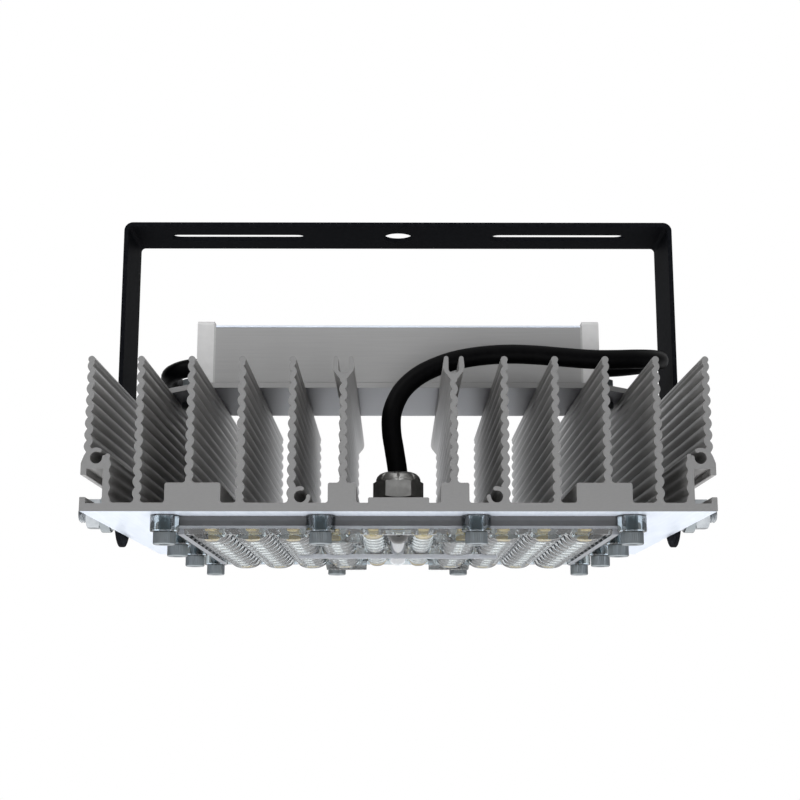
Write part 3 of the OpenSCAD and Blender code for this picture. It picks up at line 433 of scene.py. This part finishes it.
# The lens: one clear moulding, with a bar over each row of chips that is ribbed once a chip, a rim
# round the bars, a cross bar, four braces and a thick round lug at each of the twelve screws, which
# clamp it to the sink over the gasket. Its sizes are half widths in x and y, and depths.
FLANGE_X, FLANGE_Y, FLANGE, CHAMFER, SWELL, SWELL_RUN = 90.5, 81, 3.1, 0.7, 0.9, 3.3
RIM_X, RIM_Y, RIM_OUT_X, RIM_OUT_Y, RIM = 86.5, 74, 89.5, 77, 3.2
FIELD_X, FIELD_Y, FLAT, FIELD = 89, 76, 3.8, 1.1
BARS_Y = CHIPS / 2 * CHIP_PITCH
NOTCH = 1.0
SPINE_Y, SPINE_R, SPINE = 57, 5, 4
CROSS_X, CROSS_Y, CROSS, CROSS_ROUND, CROSS_END = 46.01, 1.95, 8.2, 2.2, 1.2
BRACE_Y, BRACE_HALF, BRACE_IN, BRACE_OUT, BRACE, BRACE_ROUND = 71.5, 2.1, 15.6, 35.85, 8.0, 4.4


def arch(x, half):
    """The height of a flattened arch, from 1 in the middle to 0 at half: (1 - |x / half| to the 2.6)
    to the 0.625."""
    return np.clip(1 - np.abs(x / half) ** 2.6, 0, 1) ** 0.625


def lens_depth(x, y):
    """How far the lens's outer face lies under the sink: the deepest of the flange, rim, field, bars,
    spine, cross bar and braces. A bar is a flattened arch along y whose height falls by a millimetre
    towards each notch between two ribs. The spine, cross bar and braces are round below. The flange
    has a small chamfer round its border, and swells inwards from its front and back edges."""
    def band(value, half, slope=0.25):
        """0 outside half and 1 inside it, with a ramp as wide as slope."""
        return np.clip((half - np.abs(value)) / slope, 0, 1)

    depth = (FLANGE + CHAMFER * band(x, FLANGE_X, CHAMFER) * band(y, FLANGE_Y, CHAMFER)
             + SWELL * band(y, FLANGE_Y - CHAMFER, SWELL_RUN))
    within = band(x, RIM_OUT_X) * band(y, RIM_OUT_Y) > 0.99
    rim = FLAT + RIM * np.maximum(1 - band(x, RIM_X), 1 - band(y, RIM_Y))
    depth = np.maximum(depth, rim * within)
    depth = np.maximum(depth, FLAT + FIELD * band(x, FIELD_X) * band(y, FIELD_Y))
    notch = (2 * np.mod((y + BARS_Y) / CHIP_PITCH, 1) - 1) ** 2
    for centre, half, foot, height in (*((x_bar, 8.35, 4.9, 4.6) for x_bar in WIDE_BARS),
                                       (NARROW_BAR, 5.2, 3.8, 4.5)):
        bar = foot + (height - NOTCH * notch) * arch(np.abs(x) - centre, half)
        inside = (np.abs(y) < BARS_Y) & (np.abs(np.abs(x) - centre) < half)
        depth = np.maximum(depth, np.where(inside, bar, 0))
    past = np.clip(np.abs(y) - SPINE_Y, 0, None)
    depth = np.maximum(depth, SPINE + np.sqrt(np.clip(SPINE_R ** 2 - x ** 2 - past ** 2, 0, None)))
    across = (np.sqrt(np.clip(1 - (y / CROSS_Y) ** 2, 0, 1))
              * np.sqrt(np.clip((CROSS_X - np.abs(x)) / CROSS_END, 0, 1)))
    depth = np.maximum(depth, np.where(across > 0, CROSS + CROSS_ROUND * across, 0))
    from_brace = np.abs(y) - BRACE_Y
    brace = BRACE + np.sqrt(np.clip(BRACE_ROUND - from_brace ** 2, 0, None))
    on_brace = (np.abs(from_brace) < BRACE_HALF) & (np.abs(x) > BRACE_IN) & (np.abs(x) < BRACE_OUT)
    return np.maximum(depth, np.where(on_brace, brace, 0))


def slab(across, along, depth, top):
    """A closed block between a flat top and an underside at -depth(x, y): the grid of the underside,
    a wall round its border and one flat face. Returns points, faces and how many are the grid's."""
    grid_x, grid_y = np.meshgrid(across, along)
    rows, columns = grid_x.shape
    under = np.stack([grid_x, grid_y, -depth(grid_x, grid_y)], -1).reshape(-1, 3)
    index = np.arange(rows * columns).reshape(rows, columns)
    loop = np.concatenate([index[0, :-1], index[:-1, -1], index[-1, :0:-1], index[:0:-1, 0]])
    m, n = len(under), len(loop)
    wall = np.stack([loop, m + np.arange(n), m + (np.arange(n) + 1) % n, np.roll(loop, -1)], 1)
    field = quads(rows, columns)
    return (np.concatenate([under, under[loop] * (1, 1, 0) + (0, 0, top)]),
            field.tolist() + wall.tolist() + [list(range(m, m + n))], len(field))


def both_ways(even, places):
    """Grid lines in order: the even ones, and the places on both sides of the middle."""
    places = np.array(places)
    return np.unique(np.round(np.concatenate([even, places, -places]), 3))


# The grid is finer where the rim, the cross bar and the braces turn.
lines_x = both_ways(np.arange(-85.4, 85.5, 0.7), [
    15.7, 35.8, 45, 46, 86.25, 86.5, 88.75, 89, 89.25, 89.5, 89.8, 90.5])
lines_y = both_ways(np.arange(-BARS_Y, BARS_Y + 0.1, CHIP_PITCH / 14), [
    0.6, 1.2, 1.6, 1.85, 1.94, 69.3, 69.5, 69.9, 70.6, 71.5, 72.4, 73.1, 73.5, 73.7, 74, 75.75, 76.75,
    77, 80.3, 81])
points, faces, fields = slab(lines_x, lines_y, lens_depth, 0)
# Clear moulded polycarbonate: glassy, with a bend of light of 1.58 and the faintest blue-grey.
clear, tree, body, place = new_finish("clear_polycarbonate", Roughness=0.02, IOR=1.58)
body.inputs["Transmission Weight"].default_value = 1.0
body.inputs["Base Color"].default_value = hex_colour("BEC8CB")
ripple = add(tree, "ShaderNodeTexNoise", {"Vector": place, "Scale": 1 / (4 * MM), "Detail": 2.0})
relief = add(tree, "ShaderNodeBump", {"Height": ripple.outputs["Fac"], "Strength": 0.2,
                                      "Distance": 0.01 * MM})
tree.links.new(relief.outputs["Normal"], body.inputs["Normal"])
# The flange round the optics and the cross bar are left matt from the mould.
frosted = mottled("matt_polycarbonate", 0.6, "989CA4", "AAAEB6", rough=(0.3, 0.4), IOR=1.58,
                  Transmission_Weight=0.5)
# The flange's clear edge is painted dark grey: a painted see-through view of the black gasket behind
# it.
edge = mottled("edge_painted_see_through", 1.5, "303132", "39393A", stretch=(0.3, 0.3, 1), rough=(0.4, 0.5),
               Coat_Weight=0.3)
CLEAR, MATT, EDGE = 0, 1, 2
middle = points[np.array(faces[:fields])].mean(1)
aside, ahead = np.abs(middle[:, 0]), np.abs(middle[:, 1])
on_cross_bar = (ahead < 2) & (aside < 46) & (middle[:, 2] < -7.5)
matt = (aside > RIM_X) | (ahead > 77.1) | on_cross_bar
field_looks = np.where(aside > FIELD_X, EDGE, np.where(matt, MATT, CLEAR))
walls = len(faces) - fields - 1
lens = make_piece("lens_moulding", points, faces, "head", [clear, frosted, edge], 28,
                  field_looks.tolist() + [EDGE] * walls + [CLEAR])


# The lens is hollow, to make room for the boards and the chips, with a channel along each bar. The
# hollow's faces are turned about, since they look inwards.
ROOM, CHANNEL_END = 2.8, 62.9  # how deep the hollow is, and where its channels end


def room_depth(x, y):
    """The inner face of the lens: flat, with an arched channel along the spine and each bar. At its
    ends a bar is solid and holds its last chip."""
    depth = ROOM + 3.4 * arch(x, 3.6)
    inside = np.abs(y) < CHANNEL_END
    for centre, half, height in ((NARROW_BAR, 3.4, 2.8), *((x_bar, 5.8, 4.0) for x_bar in WIDE_BARS)):
        depth = np.maximum(depth, ROOM + inside * height * arch(np.abs(x) - centre, half))
    return depth


side_lines = np.append(np.arange(16.7, 80.01, 1.2), 80.0)
room_lines = both_ways(np.arange(-14.5, 14.6, 1.0), side_lines)
points, faces, _ = slab(room_lines, np.array([-73.0, -63, -62.8, 62.8, 63, 73]), room_depth, -0.05)
hollow = bpy.data.meshes.new("lens_room")
hollow.from_pydata(((points - (0, 0, TOP)) * MM).tolist(), [], faces)
room = bmesh.new()
room.from_mesh(hollow)
bmesh.ops.recalc_face_normals(room, faces=room.faces)
bmesh.ops.reverse_faces(room, faces=room.faces)
room.to_mesh(hollow)
room.free()
work = bmesh.new()
work.from_mesh(lens.data)
work.from_mesh(hollow)
work.to_mesh(lens.data)
work.free()
lens.data.set_sharp_from_angle(angle=math.radians(28))

# The lugs stand round the flange, one at each screw. The four at the sides are just clear of it, so a
# short neck joins each to the flange's edge.
SIDE_SCREW_Y = 27.6667
screws = ([(x, y, 0) for y in (-83.0, 83.0) for x in (-93.5, -31.1667, 31.1667, 93.5)]
          + [(x, y, 0) for y in (-SIDE_SCREW_Y, SIDE_SCREW_Y) for x in (-96.5, 96.5)])
lug = turned([[2.6, 0], [5.9, 0], [5.9, -6.2], [5.6, -6.65], [5.1, -6.8], [2.6, -6.8], [2.6, 0]],
             36)
neck = square_block([(0, -0.3), (4.5, -0.3), (4.5, -3.4), (0, -3.4)], 12) * (0.45, 1, 1)
necks = [neck + (s * 91.4, y, 0) for s in (-1, 1) for y in (-SIDE_SCREW_Y, SIDE_SCREW_Y)]
lugs = grids_to_piece("lens_lugs", [lug + at for at in screws] + necks, "head", [clear])
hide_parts("lens_plate")

# The lens screws: stainless cap screws, knurled round the head, with a hexagon socket. They go
# through the lugs into the sink.
a = np.linspace(0, 2 * np.pi, 72, endpoint=False)
knurl = 4.5 - 0.14 * np.abs(np.sin(18 * a))
key = 2.3 / np.cos(np.mod(a, np.pi / 3) - np.pi / 6) * 0.9
SEAT, HEAD_END = -6.8, -11.8
head = round_rows(a, [(0, -9.2), (key, -9.2), (key, -11.7), (key + 0.15, HEAD_END), (4.1, HEAD_END),
                      (knurl, -11.4), (knurl, -7.0), (4.3, SEAT), (2.5, SEAT), (2.5, 3.3), (0, 3.3)])
lens_screws = grids_to_piece("lens_cap_screws", [head + at for at in screws], "head", [stainless])
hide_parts("lens_screws")


# The gland: nickel-plated brass, screwed into the base. Its cap nut squeezes a rubber seal on the
# lead and ends in a dome with eight fingers.
GLAND_Y, GLAND_Z = -49, 5.5
# Nickel plating: a warm, slightly milky bright grey.
nickel = mottled("nickel_plated_brass", 2.0, "A4A4A2", "B2B2B0", rough=(0.3, 0.4), Metallic=1.0,
                 Roughness=0.3)
body_hex = hexagon(flats=18.6, height=4.9, bore=7.5, ease=0.5) + (0, GLAND_Y, GLAND_Z)
nut_hex = hexagon(flats=18.6, height=7.8, bore=7.6, ease=0.8) + (0, GLAND_Y, 10.5)
a = np.linspace(0, 2 * np.pi, 96, endpoint=False)
slit = 0.45 * (np.abs(np.sin(4 * a)) < 0.18)
# Each row of the dome: its radius, its height and how far the slits between the fingers cut in.
dome = round_rows(a, [(r - cut * slit, h) for r, h, cut in (
    (5.1, 17.0, 0), (9.0, 17.0, 0), (9.5, 18.3, 0), (9.5, 19.0, 1), (9.0, 20.2, 1), (7.9, 21.3, 1),
    (6.6, 21.9, 1), (5.6, 22.1, 0.5), (5.1, 21.8, 0), (5.1, 17.0, 0))]) + (0, GLAND_Y, 0)
stem = turned(ring_profile(7.5, 4.7, 8.9, 0.1)) + (0, GLAND_Y, GLAND_Z)
grommet = turned(ring_profile(7.4, 4.25, 6.4, 0.2)) + (0, GLAND_Y, 14.5)
for name, node, shapes in (("gland_base", "gland_body", [body_hex, stem]),
                           ("gland_cap", "gland_nut", [nut_hex, dome])):
    made = grids_to_piece(name, shapes, "head", [nickel])
    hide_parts(node)
seal = grids_to_piece("gland_grommet", [grommet], "head", [rubber])
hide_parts("gland_seal")


# The leads: black round cable. One runs from the gland over the fins to the driver's right end; the
# other leaves the left end, drops into the gap beside the fins and ends in three stripped cores.
def through(route, steps):
    """A smooth line through given points: between two points it follows the cubic whose slope at
    each is half the step from the point before it to the point after."""
    p = np.asarray(route, float)
    q = np.concatenate([p[:1], p, p[-1:]])
    a, b, c, d = q[:-3, None], q[1:-2, None], q[2:-1, None], q[3:, None]
    t = np.linspace(0, 1, steps, endpoint=False)[None, :, None]
    line = (2 * b + (c - a) * t + (2 * a - 5 * b + 4 * c - d) * t ** 2
            + (3 * b - a - 3 * c + d) * t ** 3) / 2
    return np.concatenate([line.reshape(-1, 3), p[-1:]])


def cable(line, diameter, sides=20):
    """A round tube along a line: each ring is square to the line, and its first direction is carried
    on from the ring before without twist."""
    step = np.gradient(line, axis=0)
    along = step / np.linalg.norm(step, axis=1, keepdims=True)
    side = np.zeros_like(line)
    side[0] = np.cross(along[0], (0, 0.6, 0.8))
    for i in range(1, len(line)):
        side[i] = side[i - 1] - side[i - 1] @ along[i] * along[i]
        side[i] /= np.linalg.norm(side[i])
    side[0] /= np.linalg.norm(side[0])
    a = np.linspace(0, 2 * np.pi, sides, endpoint=False)[None, :, None]
    round_it = np.cos(a) * side[:, None] + np.sin(a) * np.cross(along, side)[:, None]
    first, last = (np.broadcast_to(p, (1, sides, 3)) for p in (line[0], line[-1]))
    return np.concatenate([first, line[:, None] + diameter / 2 * round_it, last])


CABLE, CORE, SLEEVE = 8.4, 2.4, 1.8  # diameters
# PVC cable sheath: black, softly glossy, with a faint drawn grain.
sheath = mottled("black_pvc_sheath", 2.5, "030304", "070708", bump=0.02, rough=(0.4, 0.5),
                 Specular_IOR_Level=0.04)
lead_line = through([
    (0, -49, 13), (-0.25, -49, 22.1), (-1.7, -49, 32), (-2.9, -49, 40), (-2.7, -49, 48),
    (0.4, -49, 56), (5.5, -49, 62), (13, -49, 67), (24, -49, 71.2), (36, -49, 73.4), (48, -49, 74.2),
    (60, -49, 73.8), (72, -49, 72.8), (84, -48.6, 72), (94, -47.5, 72.2), (103, -45, 73),
    (111, -39.5, 74.2), (116.2, -31.5, 75.6), (117.9, -23, 77), (116, -14.5, 78), (110.6, -6.6, 78.6),
    (103, -1.5, 78.8), (97, 0, 78.8), (93, 0, 78.8), (89.6, 0, 78.8)], 6)
module_lead = grids_to_piece("module_cable", [cable(lead_line, CABLE)], "head", [sheath], 60)
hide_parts("module_lead")
cord_line = through([
    (-89.6, 0, 78.8), (-93, 0, 78.8), (-96.6, 0, 78.8), (-101.2, 1.2, 78.2), (-105.4, 4.6, 77.5),
    (-108.2, 9.8, 77), (-109.2, 16, 76.8), (-108.8, 22.5, 76.4), (-107.2, 29, 75.6),
    (-105, 35.5, 74.2), (-102.4, 42, 72), (-99.8, 48.5, 69), (-97.4, 55, 65.2), (-95.2, 61.5, 60.6),
    (-93.4, 67.8, 55.2), (-92.2, 73.6, 49), (-91.4, 78.6, 42.4), (-90.8, 81.8, 35.4),
    (-90.4, 81.6, 28.2), (-90, 77.6, 22), (-89.8, 71, 17.8), (-89.4, 63, 15.9), (-89.2, 54, 15.6),
    (-89.2, 44, 15.6), (-89.2, 33, 15.6), (-89.2, 22, 15.6)], 5)
supply = grids_to_piece("supply_cable", [cable(cord_line, CABLE)], "head", [sheath], 60)
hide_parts("supply_cord")
# Tinned copper: the bright crimped sleeves on the cores' ends.
sleeve_metal = mottled("tinned_copper", 1.0, "B4B4B2", "D2D2CE", rough=(0.25, 0.36), Metallic=1.0,
                       Roughness=0.3)
CORE_OFF = 1.5  # how far each core's middle lies off the cord's
cord_x, cord_y, cord_z = -89.2, 22, 15.6
cores = []
# Seen from the cord's end, the cores lie round its middle at these angles.
for name, degrees, code in (("brown_core", 90, "5A3820"), ("blue_core", 210, "1F4C9A"),
                            ("green_core", 330, "4F8F2E")):
    # Core insulation: plain coloured plastic, half gloss.
    plastic = mottled(name + "_insulation", 2.0, code, code, bump=0.01, rough=(0.34, 0.46),
                      Roughness=0.4)
    x = cord_x + CORE_OFF * math.cos(math.radians(degrees))
    z = cord_z + CORE_OFF * math.sin(math.radians(degrees))
    line = np.stack([np.full(7, x), np.linspace(cord_y, -2, 7), np.full(7, z)], 1)
    core = grids_to_piece(name, [cable(line, CORE, 14)], "head", [plastic], 60)
    line = np.stack([np.full(4, x), np.linspace(-1, -10, 4), np.full(4, z)], 1)
    tip = grids_to_piece(name + "_sleeve", [cable(line, SLEEVE, 14)], "head", [sleeve_metal], 60)
    cores += [core, tip]
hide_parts("cord_cores")
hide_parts("core_sleeves")


# The driver: an extruded case between two cast end caps, on a plate that is screwed to the forked
# fins. Each cap has a lug that a 5 mm bolt clamps to the plate.
CASE_END, CAP_X, CAP_Z = 81.4, 89.6, 78.8  # the case's and the caps' ends, the driver's middle height
# Satin anodised aluminium: an even, fine-lined grey with little mirror in it.
anodised = mottled("satin_anodised_aluminium", 0.7, "949494", "989898", stretch=(0.03, 1, 1),
                   bump=0.001, rough=(0.46, 0.52), Metallic=0.25, Roughness=0.5)
# Enamel: light grey paint on the cast caps.
cast = mottled("light_grey_enamel", 3.0, "C2C2C2", "C8C8C8", bump=0.01, rough=(0.38, 0.46),
               Roughness=0.4)
# The plate is rolled aluminium, which mirrors a little more than the case over it. Its upright edges
# are cut, and take the case's darker grey: partly the cut, partly painted shade on faces that stand
# upright.
rolled = mottled("rolled_aluminium_plate", 1.2, "B2B4BA", "BCBEC4", stretch=(0.04, 1, 1),
                 rough=(0.28, 0.34), Metallic=0.7, Roughness=0.3)
plate = eased("carrier_plate", "head", rolled, 0.15)
plate.data.materials.append(anodised)
# Faces that stand upright get the case's darker grey: painted shade, chosen by the way each face
# turns.
facing = np.empty(len(plate.data.polygons) * 3, np.float32)
plate.data.polygons.foreach_get("normal", facing)
upright = np.abs(facing[2::3]) < 0.5
plate.data.polygons.foreach_set("material_index", upright.astype(np.int32))
# The case is a tube between two outlines of (y, z). Run is one side of the outer one, mirrored for
# the other side, and the inner one repeats its corners to have as many points.
run = [(33, 64.7), (33.9, 64.75), (34, 64.9), (34, 89.6), (33.6, 89.9), (33.2, 90.6), (32.8, 90.9)]
outer = np.array(run + [(-y, z) for y, z in run[::-1]])
inner = np.array([(32, 66.7)] * 3 + [(32, 88.9)] * 4 + [(-32, 88.9)] * 4 + [(-32, 66.7)] * 3)
case = np.stack([np.insert(loop, 0, s * CASE_END, 1) for loop, s in (
    (outer, -1), (outer, 1), (inner, 1), (inner, -1), (outer, -1))])
driver_case = grids_to_piece("extruded_case", [case], "head", [anodised])
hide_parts("driver_case")
# A thin bright rod runs along each upper edge of the case: a painted highlight, the light that the
# case's rounded top edges catch from above.
painted_edge_highlights = grids_to_piece("case_edge_painted_highlights", [
    cable(np.linspace((-CASE_END, y, 90.35), (CASE_END, y, 90.35), 5), 1.1, 12)
    for y in (-33.45, 33.45)], "head", [painted_bright_aluminium], 60)
eased("driver_cap_left", "head", cast, 1.1, segments=3)
eased("driver_cap_right", "head", cast, 1.1, segments=3)
# Silicone: the grey, matt seals between the case and its caps.
silicone = mottled("grey_silicone", 2.0, "A2A2A2", "ACACAC", bump=0.02, rough=(0.55, 0.65),
                   Roughness=0.6)
dress("cap_seals", silicone)
dress("plate_screws", zinc)

# The caps' screws: stainless pan heads, four to a cap, driven into the case. The head is a disc whose
# height dips inside the cross recess.
HEAD_R = 3.5
a, r = np.linspace(0, 2 * np.pi, 64, endpoint=False), np.linspace(0, HEAD_R, 24)[:, None]
cross = np.minimum(np.abs(r * np.cos(a)), np.abs(r * np.sin(a)))
dip = np.clip((0.55 - cross) / 0.2, 0, 1) * np.clip((2.2 - r) / 0.4, 0, 1)
screw = round_rows(a, [*zip(r, -0.25 * (r / HEAD_R) ** 2 - 0.9 * dip),
                       (HEAD_R, -0.25), (HEAD_R, -2.4), (2, -2.4), (2, -14), (0, -14)])
cap_screws = grids_to_piece("cap_cross_screws", [
    stand(screw, (s * CAP_X, t * 28, CAP_Z + v * 8), (s, 0, 0)) for s in (-1, 1) for t in (-1, 1)
    for v in (-1, 1)], "head", [stainless])
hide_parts("cap_screws")

# The lugs' hardware: 5 mm stainless bolts with their heads under the plate, and a washer and a nut
# over each cap's lug.
LUG_X = 96.3
for node, shapes in (
        ("lug_bolts", [(hexagon(flats=8, height=3.2, turn=30), 59.1),
                       (threaded(radius=2.5, low=2.4, high=14.8, pitch=0.8, depth=0.28), 59.1)]),
        ("lug_washers", [(turned(ring_profile(4.5, 2.6, 1.0, 0.15)), 67.7)]),
        ("lug_nuts", [(hexagon(flats=8, height=4.2, bore=2.55, turn=30), 68.7)])):
    pair = [shape + (s * LUG_X, 0, z) for s in (-1, 1) for shape, z in shapes]
    made = grids_to_piece(node + "_turned", pair, "head", [stainless])
    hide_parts(node)

# The bushes: moulded rubber collars where the leads enter the caps, each with a plug behind it that
# fills the cap's bore.
collar = turned([[4.4, 0], [6, 0], [6, 1.4], [5.7, 2.1], [5.1, 2.4], [4.4, 2.4], [4.4, 0]])
plug = turned([[0, -4.1], [4.35, -4.1], [4.35, 0], [0, 0]])
for node, s in (("lead_bush_left", -1), ("lead_bush_right", 1)):
    shapes = [stand(shape, (s * CAP_X, 0, CAP_Z), (s, 0, 0)) for shape in (collar, plug)]
    made = grids_to_piece(node + "_moulded", shapes, "head", [rubber])
    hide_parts(node)

# Inside the case: a green board on standoffs that carries a ferrite transformer, three sleeved
# capacitors and a choke of enamelled copper wire. Each row gives a node and its finish.
for node, title, dark, light, rough, metal in (
        ("circuit_board", "green_circuit_board", "14502E", "1C6239", 0.4, 0.0),
        ("transformer", "dark_ferrite", "201E1C", "2E2B28", 0.6, 0.0),
        ("capacitors", "sleeved_cans", "1E2450", "2A3268", 0.3, 0.0),
        ("choke", "enamelled_copper", "7A3D1C", "A2572A", 0.3, 0.8)):
    dress(node, mottled(title, 2.0, dark, light, bump=0.05, rough=(rough - 0.05, rough + 0.08),
                        Roughness=rough, Metallic=metal))


# The studio: a plain pale floor well below the hanging light and soft lamps. What the metal and the
# lens mirror has two walls: the front one is white below and above and grey at the level of the eye,
# and the one behind is white with a dark low band. The camera itself sees a plain white backdrop.
FLOOR_Z, FLOOR_HALF = -0.62, 2
corners = [(x * FLOOR_HALF, y * FLOOR_HALF, FLOOR_Z) for x, y in ((-1, -1), (1, -1), (1, 1), (-1, 1))]
floor_mesh = bpy.data.meshes.new("studio_floor")
floor_mesh.from_pydata(corners, [], [(0, 1, 2, 3)])
floor = linked("studio_floor", floor_mesh)
# Floor paint: almost white, matt and nearly even.
floor_mesh.materials.append(mottled("pale_floor_paint", 400.0, "F2F2F2", "F8F8F8", Roughness=0.8))
world = bpy.data.worlds.new("studio")
world.use_nodes = True
tree = world.node_tree
way = add(tree, "ShaderNodeTexCoord").outputs["Generated"]
look_at = add(tree, "ShaderNodeSeparateXYZ", {"Vector": way}).outputs
level = add(tree, "ShaderNodeMapRange", {"Value": look_at["Z"], "From Min": -1.0, "From Max": 1.0})
walls = []
for tones in (((0.455, "F4F4F8"), (0.5, "909090"), (0.62, "7A7A7A"), (0.8, "FFFFFF")),
              ((0.34, "FFFFFF"), (0.37, "4C5054"), (0.43, "4C5054"), (0.445, "F4F6FA"))):
    wall = add(tree, "ShaderNodeValToRGB", {"Fac": level.outputs["Result"]})
    wall.color_ramp.elements[0].color = wall.color_ramp.elements[1].color = hex_colour("FFFFFF")
    for where, code in tones:
        wall.color_ramp.elements.new(where).color = hex_colour(code)
    walls.append(wall.outputs["Color"])
behind = add(tree, "ShaderNodeMapRange", {"Value": look_at["Y"], "From Min": 0.6, "From Max": 0.9})
surround = add(tree, "ShaderNodeMix", {0: behind.outputs["Result"], 6: walls[0], 7: walls[1]},
               data_type="RGBA")
backdrop = add(tree, "ShaderNodeBackground", {"Color": hex_colour("FFFFFF")})
tree.links.new(surround.outputs[2], tree.nodes["Background"].inputs["Color"])
seen = add(tree, "ShaderNodeLightPath").outputs["Is Camera Ray"]
both = add(tree, "ShaderNodeMixShader", {"Fac": seen})
tree.links.new(tree.nodes["Background"].outputs["Background"], both.inputs[1])
tree.links.new(backdrop.outputs["Background"], both.inputs[2])
tree.links.new(both.outputs["Shader"], tree.nodes["World Output"].inputs["Surface"])
bpy.context.scene.world = world
bpy.context.scene.view_settings.view_transform = "Standard"
# Each lamp: its place, what it points at, its size and its power in watts.
for name, at, aim, size, power in (("key", (-0.9, -1.1, 0.9), (0, 0, -0.1), 0.9, 10),
                                   ("low", (0.1, -0.8, -0.55), (0, 0, -0.14), 0.7, 3),
                                   ("table", (0, 0, -0.58), (0, 0.001, 0), 1.6, 7)):
    data = bpy.data.lights.new(name, "AREA")
    data.shape, data.size, data.energy = "SQUARE", size, power
    lamp = linked(name, data)
    lamp.location = at
    lamp.visible_camera = False
    way = np.subtract(aim, at)
    turn = math.atan2(way[1], way[0]) - math.pi / 2
    lamp.rotation_euler = (math.acos(-way[2] / np.linalg.norm(way)), 0, turn)
